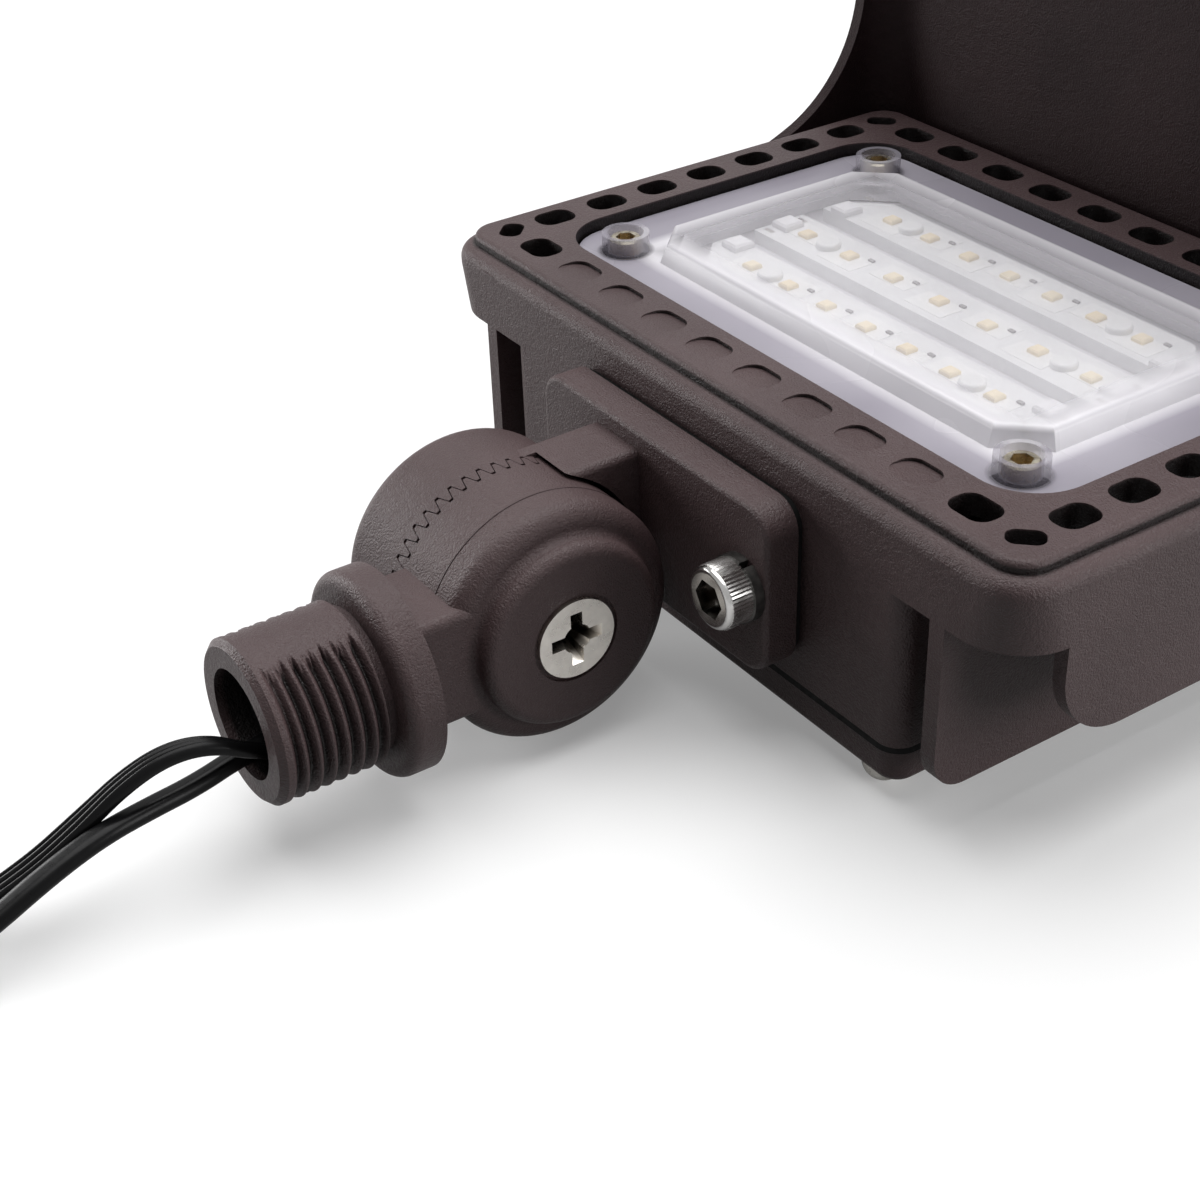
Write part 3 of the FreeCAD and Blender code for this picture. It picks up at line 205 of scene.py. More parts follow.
def finished_mesh(bm, name):
    mesh = bpy.data.meshes.new(name)
    bm.to_mesh(mesh)
    bm.free()
    return mesh


def join_rings(bm, first, second):
    """A band of four-sided faces between two closed rings with as many corners each."""
    faces = []
    for k in range(len(first)):
        j = (k + 1) % len(first)
        faces.append(bm.faces.new((first[k], first[j], second[j], second[k])))
    return faces


def close_tube(bm, rings):
    """Faces round a tube of rings, and one at each of its ends."""
    for a, b in zip(rings, rings[1:]):
        join_rings(bm, a, b)
    bm.faces.new(rings[0])
    bm.faces.new(list(reversed(rings[-1])))
    bmesh.ops.recalc_face_normals(bm, faces=bm.faces[:])


def route_line(route):
    """Points along the smooth curve that has the route as its control points."""
    curve = bpy.data.curves.new("route", "CURVE")
    curve.dimensions = "3D"
    spline = curve.splines.new("NURBS")
    spline.points.add(len(route) - 1)
    for point, place in zip(spline.points, route):
        point.co = (*(Vector(place) * MM), 1.0)
    spline.order_u = 3
    spline.use_endpoint_u = True
    spline.resolution_u = ROUTE_STEPS
    holder = bpy.data.objects.new("route", curve)
    mesh = bpy.data.meshes.new_from_object(holder)
    points = [v.co.copy() for v in mesh.vertices]
    bpy.data.objects.remove(holder)
    bpy.data.curves.remove(curve)
    bpy.data.meshes.remove(mesh)
    return points


def flat_section(width, thickness, cores, groove):
    """Outline of a flat jacket: round ends, and a shallow groove between its cores."""
    steps = STEPS_PER_CORE * cores
    end_share = thickness / width / 2
    upper = []
    for k in range(steps + 1):
        x = -0.5 + k / steps
        lobe = ((x + 0.5) * cores) % 1.0 * 2 - 1
        end = max(0.0, (abs(x) - 0.5 + end_share) / end_share)
        half = thickness / 2 * (1 - groove + groove * math.sqrt(max(0.0, 1 - lobe * lobe)))
        upper.append((x * width, half * math.sqrt(max(0.0, 1 - end * end))))
    return upper + [(x, -z) for x, z in reversed(upper[1:-1])]


def sweep(name, line, section, roll):
    """A tube with the section along the line, its width level but for the roll near its start."""
    bm = bmesh.new()
    rings = []
    for k, place in enumerate(line):
        ahead = (line[min(k + 1, len(line) - 1)] - line[max(k - 1, 0)]).normalized()
        turn = Matrix.Rotation(roll * max(0.0, 1 - ROLL_FADE * k / len(line)), 3, ahead)
        across = turn @ ahead.cross(Vector((0, 0, 1))).normalized()
        over = across.cross(ahead).normalized()
        rings.append([bm.verts.new(place + across * x + over * z) for x, z in section])
    close_tube(bm, rings)
    for face in bm.faces:
        face.smooth = len(face.verts) == 4
    return finished_mesh(bm, name)


def make_lead(name, node, route, section, roll, material):
    line = route_line(route)
    mesh = sweep(name, line, flat_section(**section), roll)
    piece = add_object(name, mesh, material, "base")
    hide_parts(node)


def new_material(name):
    material = bpy.data.materials.new(name)
    material.use_nodes = True
    tree = material.node_tree
    return material, tree, tree.nodes["Principled BSDF"]


def object_coords(tree):
    return tree.nodes.new("ShaderNodeTexCoord").outputs["Object"]


def object_normal(tree):
    return tree.nodes.new("ShaderNodeTexCoord").outputs["Normal"]


def split_coords(tree, coords):
    node = tree.nodes.new("ShaderNodeSeparateXYZ")
    tree.links.new(coords, node.inputs["Vector"])
    return node.outputs["X"], node.outputs["Y"], node.outputs["Z"]


def noise(tree, coords, scale, detail=2.0, roughness=0.5):
    node = tree.nodes.new("ShaderNodeTexNoise")
    node.inputs["Scale"].default_value = scale
    node.inputs["Detail"].default_value = detail
    node.inputs["Roughness"].default_value = roughness
    tree.links.new(coords, node.inputs["Vector"])
    return node.outputs["Fac"]


def math_node(tree, operation, first, second=0.0):
    """A math node whose inputs are numbers or other nodes' outputs."""
    node = tree.nodes.new("ShaderNodeMath")
    node.operation = operation
    for socket, value in zip(node.inputs, (first, second)):
        if isinstance(value, float):
            socket.default_value = value
        else:
            tree.links.new(value, socket)
    return node.outputs["Value"]


def product(tree, *values):
    """The product of several nodes' outputs."""
    total = values[0]
    for value in values[1:]:
        total = math_node(tree, "MULTIPLY", total, value)
    return total


def long_side(tree, first, second):
    """The long side of a right-angled triangle from its two short ones."""
    squares = [math_node(tree, "POWER", side, 2.0) for side in (first, second)]
    return math_node(tree, "SQRT", math_node(tree, "ADD", *squares))


def spread(tree, value, low, high, start=0.3, end=0.7):
    """Goes from low to high as the value goes from start to end."""
    node = tree.nodes.new("ShaderNodeMapRange")
    node.inputs["From Min"].default_value = start
    node.inputs["From Max"].default_value = end
    node.inputs["To Min"].default_value = low
    node.inputs["To Max"].default_value = high
    tree.links.new(value, node.inputs["Value"])
    return node.outputs["Result"]


def rising(tree, value, start, end):
    return spread(tree, value, 0.0, 1.0, start, end)


def falling(tree, value, start, end):
    return spread(tree, value, 1.0, 0.0, start, end)


def two_colours(tree, value, dark, light, start=0.35, end=0.65):
    ramp = tree.nodes.new("ShaderNodeValToRGB")
    ramp.color_ramp.elements[0].position = start
    ramp.color_ramp.elements[0].color = (*dark, 1)
    ramp.color_ramp.elements[1].position = end
    ramp.color_ramp.elements[1].color = (*light, 1)
    tree.links.new(value, ramp.inputs["Fac"])
    return ramp.outputs["Color"]


def blend(tree, share, first, second):
    """The first colour where the share is 0 and the second where it is 1."""
    mix = tree.nodes.new("ShaderNodeMix")
    mix.data_type = "RGBA"
    tree.links.new(share, mix.inputs[MIX_SHARE])
    for place, colour in ((MIX_FIRST, first), (MIX_SECOND, second)):
        if isinstance(colour, tuple):
            mix.inputs[place].default_value = (*colour, 1)
        else:
            tree.links.new(colour, mix.inputs[place])
    return mix.outputs[MIX_RESULT]


def add_bump(tree, bsdf, height, strength, distance):
    """A bump on top of those that the shader already has."""
    node = tree.nodes.new("ShaderNodeBump")
    node.inputs["Strength"].default_value = strength
    node.inputs["Distance"].default_value = distance
    tree.links.new(height, node.inputs["Height"])
    for link in bsdf.inputs["Normal"].links:
        tree.links.new(link.from_socket, node.inputs["Normal"])
    tree.links.new(node.outputs["Normal"], bsdf.inputs["Normal"])


def from_bezel_middle(tree, coords):
    """Distances from the bezel's middle along X and along Y, and the height."""
    x, y, z = split_coords(tree, coords)
    away_y = math_node(tree, "ABSOLUTE", math_node(tree, "SUBTRACT", y, BEZEL_Y))
    return math_node(tree, "ABSOLUTE", x), away_y, z


def outline_distance(tree, away_x, away_y):
    """Distance from the bezel's rounded outline, below 0 inside it."""
    side_x = math_node(tree, "SUBTRACT", away_x, OUTLINE_HALF_X - OUTLINE_CORNER)
    side_y = math_node(tree, "SUBTRACT", away_y, OUTLINE_HALF_Y - OUTLINE_CORNER)
    corner = long_side(tree, *(math_node(tree, "MAXIMUM", side, 0.0) for side in (side_x, side_y)))
    inner = math_node(tree, "MINIMUM", math_node(tree, "MAXIMUM", side_x, side_y), 0.0)
    return math_node(tree, "SUBTRACT", math_node(tree, "ADD", corner, inner), OUTLINE_CORNER)


def slot_and_crease_shade(tree, coords):
    """Share of painted shade: 1 down in the bezel's slots and in the crease beside its lip, and 0 on its
    outside.
    """
    away_x, away_y, z = from_bezel_middle(tree, coords)
    facing = split_coords(tree, object_normal(tree))[Z]
    upright = falling(tree, math_node(tree, "ABSOLUTE", facing), *UPRIGHT)
    walls = product(tree, upright, falling(tree, z, BEZEL_TOP, BEZEL_TOP + EDGE_FADE))
    deep = math_node(tree, "MAXIMUM", walls, falling(tree, z, BEZEL_TOP - SLOT_FADE, BEZEL_TOP))
    slots = product(tree, deep,
                    falling(tree, away_x, BEZEL_HALF_X, BEZEL_HALF_X + EDGE_FADE),
                    falling(tree, away_y, BEZEL_HALF_Y, BEZEL_HALF_Y + EDGE_FADE),
                    rising(tree, z, BEZEL_BOTTOM - EDGE_FADE, BEZEL_BOTTOM))
    off_crease = math_node(tree, "ADD", outline_distance(tree, away_x, away_y), CREASE_INSET)
    crease = product(tree,
                     falling(tree, math_node(tree, "ABSOLUTE", off_crease), 0.0, CREASE_FADE),
                     falling(tree, z, CREASE_TOP - EDGE_FADE, CREASE_TOP),
                     rising(tree, z, CREASE_LOW - EDGE_FADE, CREASE_LOW))
    return math_node(tree, "MAXIMUM", slots, crease)


def valley_shade_share(tree, coords):
    """Share of painted shade: 1 in the thread's valleys and in the bore, and 0 elsewhere on the knuckle's
    base half.
    """
    x, y, z = split_coords(tree, coords)
    return product(tree,
                   falling(tree, long_side(tree, x, z), VALLEY_R, CREST_R),
                   rising(tree, y, NIPPLE_TIP, THREAD_START),
                   falling(tree, y, -EDGE_FADE, 0.0))


def recess_depth(axis, outside, inside, centre=None):
    """A measure: 1 down in a screw's recess and 0 on its face. A centre keeps it to the socket there."""
    def depth(tree, coords):
        places = split_coords(tree, coords)
        if inside < outside:
            along = falling(tree, places[axis], inside, outside)
        else:
            along = rising(tree, places[axis], outside, inside)
        if not centre:
            return along
        radius = long_side(tree, *(math_node(tree, "SUBTRACT", places[k], centre[k]) for k in (X, Z)))
        return product(tree, along, falling(tree, radius, HEX_R, HEX_R + EDGE_FADE))
    return depth


def powder_coat(name, dark, light, gloss, depth=None):
    """Satin powder coat with a fine orange-peel grain, and painted shade where the depth is 1."""
    material, tree, bsdf = new_material(name)
    coords = object_coords(tree)
    grain = noise(tree, coords, scale=3600, roughness=0.6)
    peel = noise(tree, coords, scale=900, detail=1.0)
    cloud = noise(tree, coords, scale=55, detail=3.0)
    colour = two_colours(tree, cloud, dark, light)
    if depth:
        # painted shade mixed into the colour where the depth is 1
        colour = blend(tree, depth(tree, coords), colour, PAINTED_SHADE_COLOUR)
    tree.links.new(colour, bsdf.inputs["Base Color"])
    tree.links.new(spread(tree, grain, low=0.3, high=0.48), bsdf.inputs["Roughness"])
    bsdf.inputs["Specular IOR Level"].default_value = gloss
    add_bump(tree, bsdf, grain, strength=0.9, distance=0.2 * MM)
    add_bump(tree, bsdf, peel, strength=0.6, distance=0.14 * MM)
    return material


def metal(name, dark, light, rough, depth=None, inner=None):
    """Worn bare or plated metal, with the inner colour where the depth is 1: painted shade in a recess, or
    a second tone of the metal.
    """
    material, tree, bsdf = new_material(name)
    coords = object_coords(tree)
    wear = noise(tree, coords, scale=420, detail=4.0, roughness=0.6)
    bsdf.inputs["Metallic"].default_value = 1.0
    colour = two_colours(tree, wear, dark, light)
    if depth:
        colour = blend(tree, depth(tree, coords), colour, inner)
    tree.links.new(colour, bsdf.inputs["Base Color"])
    tree.links.new(spread(tree, wear, *rough), bsdf.inputs["Roughness"])
    add_bump(tree, bsdf, noise(tree, coords, scale=2600), strength=0.1, distance=0.02 * MM)
    return material


def soft_black(name, dark, light, rough, grain_scale, grain_height):
    """Rubber or cable jacket."""
    material, tree, bsdf = new_material(name)
    coords = object_coords(tree)
    grain = noise(tree, coords, scale=grain_scale, detail=3.0)
    cloud = noise(tree, coords, scale=120, detail=3.0)
    tree.links.new(two_colours(tree, cloud, dark, light), bsdf.inputs["Base Color"])
    tree.links.new(spread(tree, grain, *rough), bsdf.inputs["Roughness"])
    bsdf.inputs["Specular IOR Level"].default_value = 0.16
    add_bump(tree, bsdf, grain, strength=0.3, distance=grain_height)
    return material


def pale_plastic(name, dark, light, rough):
    """Moulded or painted surface with faint clouds of colour and gloss."""
    material, tree, bsdf = new_material(name)
    coords = object_coords(tree)
    cloud = noise(tree, coords, scale=90, detail=4.0)
    sheen = noise(tree, coords, scale=700)
    tree.links.new(two_colours(tree, cloud, dark, light), bsdf.inputs["Base Color"])
    tree.links.new(spread(tree, sheen, *rough), bsdf.inputs["Roughness"])
    add_bump(tree, bsdf, noise(tree, coords, scale=1500), strength=0.15, distance=0.03 * MM)
    return material


def moulded_lens(name):
    """Moulded polycarbonate: milky at its border, and clearer over the boards and in its towers. The
    border's violet-grey is the lens's frosted tint, and its darkness towards the bezel is partly painted
    shade.
    """
    material, tree, bsdf = new_material(name)
    coords = object_coords(tree)
    away_x, away_y, _ = from_bezel_middle(tree, coords)
    border = math_node(tree, "MAXIMUM", math_node(tree, "SUBTRACT", away_x, WINDOW_HALF_X),
                       math_node(tree, "SUBTRACT", away_y, WINDOW_HALF_Y))
    milky = spread(tree, border, WINDOW_ALPHA, BORDER_ALPHA, *WINDOW_FADE)
    from_tower = long_side(tree, math_node(tree, "SUBTRACT", away_x, TOWER_X),
                           math_node(tree, "SUBTRACT", away_y, TOWER_Y))
    clear = spread(tree, from_tower, TOWER_ALPHA, 1.0, TOWER_R, TOWER_R + TOWER_FADE)
    tree.links.new(product(tree, milky, clear), bsdf.inputs["Alpha"])
    haze = noise(tree, coords, scale=45, detail=1.0)
    # Border colour: frosted tint, darker than the veil partly as painted shade
    rim = two_colours(tree, haze, dark=(0.4, 0.375, 0.435), light=(0.46, 0.435, 0.495))
    veil = two_colours(tree, haze, dark=(0.8, 0.78, 0.82), light=(0.85, 0.83, 0.87))
    tree.links.new(blend(tree, rising(tree, border, *RIM_FADE), veil, rim), bsdf.inputs["Base Color"])
    tree.links.new(spread(tree, haze, low=0.2, high=0.32), bsdf.inputs["Roughness"])
    add_bump(tree, bsdf, noise(tree, coords, scale=600), strength=0.1, distance=0.03 * MM)
    return material


def clamped(value):
    """The value kept between 0 and 1."""
    return min(1.0, max(0.0, value))


def thread_groove(y, angle):
    """Depth of the thread, which is none at the tip and on the flats, and ends raggedly at the flats."""
    turn = ((y - THREAD_START) / THREAD_PITCH + angle / FULL_TURN) % 1.0
    valley = 0.5 - 0.5 * math.cos(FULL_TURN * turn)
    ends = clamped((y - THREAD_START) / LEAD_IN) * clamped(-y / LEAD_OUT)
    ragged = sum(size * math.sin(y / THREAD_PITCH * rate) for size, rate in RAGGED)
    beside = abs(angle % math.pi - math.pi / 2) - THREAD_FLAT + ragged
    return THREAD_DEPTH * valley ** VALLEY_POWER * ends * clamped(beside / FLAT_FADE)


def on_thread(vertex):
    """True for a corner of the plain cylinder that the solid has in place of the thread."""
    radius = math.hypot(vertex.co.x, vertex.co.z)
    return abs(radius - THREAD_R) < RADIUS_SLACK and NIPPLE_TIP - END_SLACK < vertex.co.y < END_SLACK


def turn_angle(vertex):
    """Angle of a corner round the nipple's axis, from 0 to a full turn."""
    return math.atan2(vertex.co.z, vertex.co.x) % FULL_TURN


def zip_rings(bm, lower, upper):
    """Triangles between two rings round the nipple's axis, each in the order of the angle."""
    lower_angles = [turn_angle(v) for v in lower[1:]] + [FULL_TURN + turn_angle(lower[0])]
    upper_angles = [turn_angle(v) for v in upper[1:]] + [FULL_TURN + turn_angle(upper[0])]
    i = j = 0
    while i < len(lower) or j < len(upper):
        a = lower[i % len(lower)]
        b = upper[j % len(upper)]
        if j == len(upper) or (i < len(lower) and lower_angles[i] <= upper_angles[j]):
            i += 1
            bm.faces.new((a, b, lower[i % len(lower)]))
        else:
            j += 1
            bm.faces.new((a, b, upper[j % len(upper)]))


def make_threaded_base(material):
    """The knuckle's base half with the thread on its nipple, which the solid has as a plain cylinder."""
    mesh = NODES["knuckle_base"].data.copy()
    mesh.name = "knuckle_base_threaded"
    bm = bmesh.new()
    bm.from_mesh(mesh)
    cylinder = [f for f in bm.faces if all(on_thread(v) for v in f.verts)]
    bmesh.ops.delete(bm, geom=cylinder, context="FACES")
    bmesh.ops.remove_doubles(bm, verts=[v for v in bm.verts if on_thread(v)], dist=WELD)
    rim = sorted((v for v in bm.verts if on_thread(v)), key=turn_angle)
    rings = []
    for k in range(1, THREAD_STEPS):
        y = NIPPLE_TIP * (1 - k / THREAD_STEPS)
        ring = []
        for j in range(THREAD_SIDES):
            angle = FULL_TURN * j / THREAD_SIDES
            radius = THREAD_R - thread_groove(y, angle)
            ring.append(bm.verts.new((radius * math.cos(angle), y, radius * math.sin(angle))))
        rings.append(ring)
    for a, b in zip(rings, rings[1:]):
        for face in join_rings(bm, b, a):
            face.smooth = True
    zip_rings(bm, [v for v in rim if v.co.y < NIPPLE_TIP / 2], rings[0])
    zip_rings(bm, rings[-1], [v for v in rim if v.co.y > NIPPLE_TIP / 2])
    bm.to_mesh(mesh)
    bm.free()
    piece = add_object("knuckle_base_threaded", mesh, material, "base")
    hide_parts("knuckle_base")


def island_centres(mesh):
    """The middle of each loose piece of a mesh."""
    bm = bmesh.new()
    bm.from_mesh(mesh)
    bmesh.ops.remove_doubles(bm, verts=bm.verts[:], dist=WELD)
    left = set(bm.verts)
    centres = []
    while left:
        stack = [left.pop()]
        island = []
        while stack:
            vertex = stack.pop()
            island.append(vertex.co.copy())
            for edge in vertex.link_edges:
                other = edge.other_vert(vertex)
                if other in left:
                    left.remove(other)
                    stack.append(other)
        low = Vector([min(c[k] for c in island) for k in range(3)])
        high = Vector([max(c[k] for c in island) for k in range(3)])
        centres.append((low + high) / 2)
    bm.free()
    return sorted(centres, key=lambda c: (round(c.y, 4), c.x))


def make_plates(name, places, half, height, material):
    """Small flat blocks standing on the given points of the lamp head."""
    bm = bmesh.new()
    size = Matrix.Diagonal((2 * half[X], 2 * half[Y], height, 1))
    for place in places:
        middle = Matrix.Translation(place + Vector((0, 0, height / 2)))
        bmesh.ops.create_cube(bm, size=1, matrix=middle @ size)
    add_object(name, finished_mesh(bm, name), material, "head")


def make_board_details(pad_material, chip_material, joint_material):
    """Pads in steps round the LEDs, a small chip beside each, and soldered joints at the boards' ends."""
    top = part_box("led_board_middle")[1][Z]
    pads = []
    chips = []
    for k, led in enumerate(island_centres(NODES["leds"].data)):
        step = PAD_STEP if k % 2 else -PAD_STEP
        pads.append(Vector((led.x, led.y + step, top)))
        chips.append(Vector((led.x + CHIP_PLACE[X], led.y + CHIP_PLACE[Y], top + PAD_T)))
    joints = []
    for name in BOARDS:
        low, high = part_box(name)
        for x in (low[X] + JOINT_INSET, high[X] - JOINT_INSET):
            for y in (low[Y] + JOINT_EDGE, high[Y] - JOINT_EDGE):
                joints.append(Vector((x, y, top)))
    make_plates("board_joints", joints, JOINT_HALF, PAD_T, joint_material)
    make_plates("led_pads", pads, PAD_HALF, PAD_T, pad_material)
    make_plates("led_chips", chips, CHIP_HALF, CHIP_T, chip_material)


def make_knurl(material):
    """A closed band of fine ridges round the head of the socket screw, sunk into the head on its inside."""
    low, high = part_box("plate_screw")
    middle = (Vector(low) + Vector(high)) / 2
    radius = (high[X] - low[X]) / 2
    inside = radius - KNURL_SUNK
    front = low[Y] + HEAD_EDGE
    back = low[Y] + HEAD_L
    bm = bmesh.new()
    rings = []
    ridged = [(front, radius, KNURL_H), (back, radius, KNURL_H)]
    sunk = [(back, inside, 0.0), (front, inside, 0.0)]
    for y, base, ridge in ridged + sunk:
        ring = []
        for k in range(2 * KNURL_RIDGES):
            angle = math.pi * k / KNURL_RIDGES
            r = base + ridge * (k % 2)
            place = (middle.x + r * math.cos(angle), y, middle.z + r * math.sin(angle))
            ring.append(bm.verts.new(place))
        rings.append(ring)
    for a, b in zip(rings, rings[1:] + rings[:1]):
        join_rings(bm, a, b)
    bmesh.ops.recalc_face_normals(bm, faces=bm.faces[:])
    add_object("plate_screw_knurl", finished_mesh(bm, "plate_screw_knurl"), material, "head")


def make_mould_line(material):
    """The fine ridge that a two-part mould leaves round the base half's disc."""
    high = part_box("knuckle_base")[1]
    radius = high[Z]
    pivot_y = high[Y] - radius
    section = ((-MOULD_LINE_H, 0.0), (0.0, MOULD_LINE_H / 2), (MOULD_LINE_H, 0.0), (0.0, -MOULD_LINE_H))
    bm = bmesh.new()
    rings = []
    for k in range(MOULD_LINE_STEPS + 1):
        angle = MOULD_LINE_START + MOULD_LINE_SWEEP * k / MOULD_LINE_STEPS
        ring = []
        for x, out in section:
            r = radius + out
            place = (MOULD_LINE_X + x, pivot_y + r * math.cos(angle), r * math.sin(angle))
            ring.append(bm.verts.new(place))
        rings.append(ring)
    close_tube(bm, rings)
    add_object("mould_line", finished_mesh(bm, "mould_line"), material, "base")


def seen_directly(tree):
    """1 for what the camera sees itself or through glass, less in metal, and 0 for light on the object."""
    path = tree.nodes.new("ShaderNodeLightPath")
    mirrored = math_node(tree, "MULTIPLY", path.outputs["Is Glossy Ray"], MIRRORED)
    seen = math_node(tree, "MAXIMUM", path.outputs["Is Camera Ray"], path.outputs["Is Transmission Ray"])
    return math_node(tree, "MAXIMUM", seen, mirrored)


def make_floor():
    """White paper: it shows white with the object's shadow on it, and throws little light back."""
    mesh = bpy.data.meshes.new("floor")
    corners = [(x * FLOOR_HALF, y * FLOOR_HALF, FLOOR_Z) for x, y in ((-1, -1), (1, -1), (1, 1), (-1, 1))]
    mesh.from_pydata(corners, [], [(0, 1, 2, 3)])
    material, tree, bsdf = new_material("floor_paper")
    seen = seen_directly(tree)
    paper = two_colours(tree, seen, dark=PAPER_BOUNCE, light=PAPER_SEEN, start=0.0, end=1.0)
    tree.links.new(paper, bsdf.inputs["Base Color"])
    bsdf.inputs["Roughness"].default_value = 0.9
    bsdf.inputs["Specular IOR Level"].default_value = 0.0
    glow = tree.nodes.new("ShaderNodeEmission")
    glow.inputs["Color"].default_value = (1, 1, 1, 1)
    glow.inputs["Strength"].default_value = 1.0
    mix = tree.nodes.new("ShaderNodeMixShader")
    share, first, second = mix.inputs
    tree.links.new(math_node(tree, "MULTIPLY", seen, FLOOR_GLOW), share)
    tree.links.new(bsdf.outputs["BSDF"], first)
    tree.links.new(glow.outputs["Emission"], second)
    tree.links.new(mix.outputs["Shader"], tree.nodes["Material Output"].inputs["Surface"])
    floor = bpy.data.objects.new("floor", mesh)
    mesh.materials.append(material)
    bpy.context.scene.collection.objects.link(floor)


def make_world():
    world = bpy.data.worlds.new("studio")
    bpy.context.scene.world = world
    world.use_nodes = True
    tree = world.node_tree
    sky = tree.nodes["Background"]
    sky.inputs["Color"].default_value = (1, 1, 1, 1)
    strength = spread(tree, seen_directly(tree), low=WORLD_LIGHT, high=1.0, start=0.0, end=1.0)
    tree.links.new(strength, sky.inputs["Strength"])


def place_lamp(name, data, place, target):
    lamp = bpy.data.objects.new(name, data)
    place = Vector(place)
    turn = (Vector(target) - place).to_track_quat("-Z", "Y").to_matrix().to_4x4()
    lamp.matrix_world = Matrix.Translation(place) @ turn
    bpy.context.scene.collection.objects.link(lamp)


def make_key(place, target, angle, strength):
    """A wide soft light from far away, which lights the whole table evenly."""
    data = bpy.data.lights.new("key", "SUN")
    data.angle = angle
    data.energy = strength
    place_lamp("key", data, place, target)


def make_lamp(name, place, target, size, power):
    data = bpy.data.lights.new(name, "AREA")
    data.shape = "DISK"
    data.size = size
    data.energy = power
    place_lamp(name, data, place, target)


def dress(material, *names):
    for name in names:
        mesh = NODES[name].data
        mesh.materials.clear()
        mesh.materials.append(material)


# Camera and leads
make_camera()
jacket = soft_black("lead_jacket", dark=(0.003, 0.003, 0.0033), light=(0.006, 0.006, 0.0064),
                    rough=(0.26, 0.36), grain_scale=900, grain_height=0.03 * MM)
make_lead("power_lead_jacket", "power_lead", POWER_ROUTE, POWER_SECTION, POWER_ROLL, jacket)
make_lead("control_lead_jacket", "control_lead", CONTROL_ROUTE, CONTROL_SECTION, CONTROL_ROLL, jacket)

# Coats and rubber
coat = powder_coat("bronze_coat", **COAT)
# Copies of the coat with painted shade in the bezel's slots and crease, and in the thread's valleys
slot_shaded_coat = powder_coat("slot_shaded_coat", **COAT, depth=slot_and_crease_shade)
valley_shaded_coat = powder_coat("valley_shaded_coat", **COAT, depth=valley_shade_share)
# A darker, less glossy copy of the bronze coat: painted shade on the visor's shaded inside, and on the
# mould line
painted_shade_coat = powder_coat("painted_shade_coat", dark=(0.026, 0.016, 0.017), light=(0.034, 0.021, 0.022), gloss=0.1)
rubber = soft_black("black_rubber", dark=(0.004, 0.004, 0.004), light=(0.01, 0.01, 0.01),
                    rough=(0.6, 0.8), grain_scale=1400, grain_height=0.04 * MM)

# Metals
socket_low, socket_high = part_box("plate_screw")
socket_middle = [(a + b) / 2 for a, b in zip(socket_low, socket_high)]
socket_face = socket_low[Y]
socket_recess = recess_depth(Y, socket_face + SOCKET_START, socket_face + SOCKET_END, socket_middle)
clamp_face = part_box("clamp_screw")[1][X] - RECESS_START
clamp_recess = recess_depth(X, clamp_face, clamp_face - RECESS_FADE)
lens_screw_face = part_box("lens_screws")[1][Z] - RECESS_START
lens_screw_recess = recess_depth(Z, lens_screw_face, lens_screw_face - RECESS_FADE)
steel = metal("steel", dark=(0.5, 0.48, 0.44), light=(0.66, 0.64, 0.6), rough=(0.2, 0.36))
chrome = metal("chrome", **CHROME)
# The socket and clamp screws get painted shade down in their recesses
socket_chrome = metal("socket_chrome", **CHROME, depth=socket_recess, inner=RECESS_SHADE_COLOUR)
nickel = metal("nickel", dark=(0.76, 0.72, 0.67), light=(0.88, 0.84, 0.78), rough=(0.24, 0.36),
               depth=clamp_recess, inner=RECESS_SHADE_COLOUR)
pale_brass = metal("pale_brass", dark=(0.55, 0.5, 0.4), light=(0.66, 0.61, 0.5), rough=(0.2, 0.35),
                   depth=lens_screw_recess, inner=BRASS_INNER)
brass = metal("brass", dark=(0.6, 0.44, 0.2), light=(0.75, 0.58, 0.3), rough=(0.2, 0.35))
copper = metal("copper", dark=(0.6, 0.28, 0.15), light=(0.75, 0.4, 0.25), rough=(0.25, 0.4))
blackened = metal("blackened_steel", dark=(0.06, 0.058, 0.056), light=(0.11, 0.105, 0.1), rough=(0.35, 0.5))

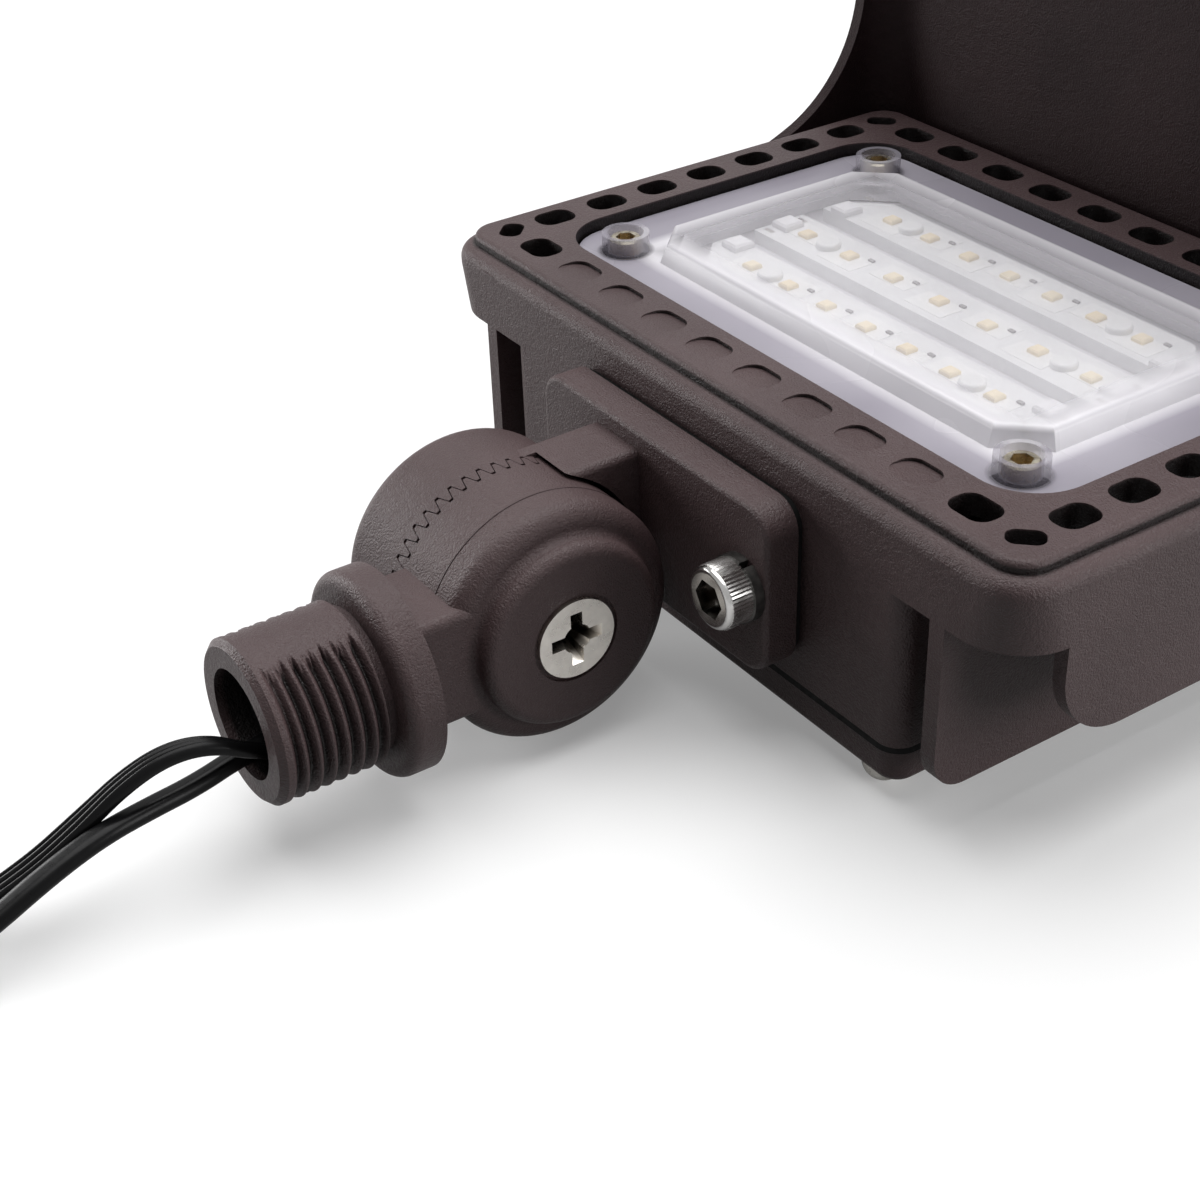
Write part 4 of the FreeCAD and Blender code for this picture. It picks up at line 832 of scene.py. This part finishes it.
# Plastics, boards and the lens
white = pale_plastic("white_plastic", dark=(0.85, 0.84, 0.86), light=(0.89, 0.88, 0.9), rough=(0.3, 0.45))
board = pale_plastic("white_board", dark=(0.79, 0.79, 0.8), light=(0.84, 0.84, 0.85), rough=(0.4, 0.55))
pad = pale_plastic("solder_pad", dark=(0.86, 0.86, 0.86), light=(0.9, 0.9, 0.9), rough=(0.4, 0.55))
painted_screw = pale_plastic("painted_screw", dark=(0.8, 0.8, 0.8), light=(0.86, 0.86, 0.86),
                             rough=(0.45, 0.6))
phosphor = pale_plastic("phosphor", dark=(0.9, 0.75, 0.5), light=(0.95, 0.84, 0.62), rough=(0.35, 0.5))
chip = pale_plastic("chip", dark=(0.28, 0.27, 0.27), light=(0.36, 0.35, 0.35), rough=(0.4, 0.55))
driver_case = pale_plastic("driver_case", dark=(0.03, 0.03, 0.032), light=(0.05, 0.05, 0.052),
                           rough=(0.5, 0.65))
lens = moulded_lens("frosted_lens")

# Finishes of the solids
dress(coat, "knuckle_head", "rear_cover")
dress(slot_shaded_coat, "housing")
dress(painted_shade_coat, "visor")
dress(rubber, "lead_seal", "knuckle_seal", "plate_gasket", "lens_gasket", "rear_cover_gasket")
dress(nickel, "clamp_screw")
dress(steel, "plate_inner_screw", "rear_cover_screws", "visor_screws")
dress(painted_screw, "board_screws")
dress(blackened, "plate_spring_washer")
dress(socket_chrome, "plate_screw")
dress(brass, "clamp_insert")
dress(pale_brass, "lens_screws")
dress(copper, "lead_cores")
dress(white, "led_tray", "board_connectors")
dress(board, *BOARDS)
dress(phosphor, "leds")
dress(driver_case, "driver_module")
dress(lens, "lens")

# Fine forms on the solids
make_threaded_base(valley_shaded_coat)
# The mould line takes the darker coat, painted shade that draws it as a dark line
make_mould_line(painted_shade_coat)
make_knurl(chrome)
make_board_details(pad, chip, steel)

# Table and light
make_floor()
make_world()
make_key(place=(-0.16, 0.22, 0.95), target=(0, 0.06, 0), angle=math.radians(70), strength=3.3)
make_lamp("left", place=(-0.3, -0.13, 0.07), target=(-0.03, 0.05, 0), size=0.18, power=0.6)
make_lamp("right", place=(0.42, 0.34, 0.12), target=(0.05, 0.1, 0), size=0.3, power=1.25)

bpy.context.scene.view_settings.view_transform = "Standard"
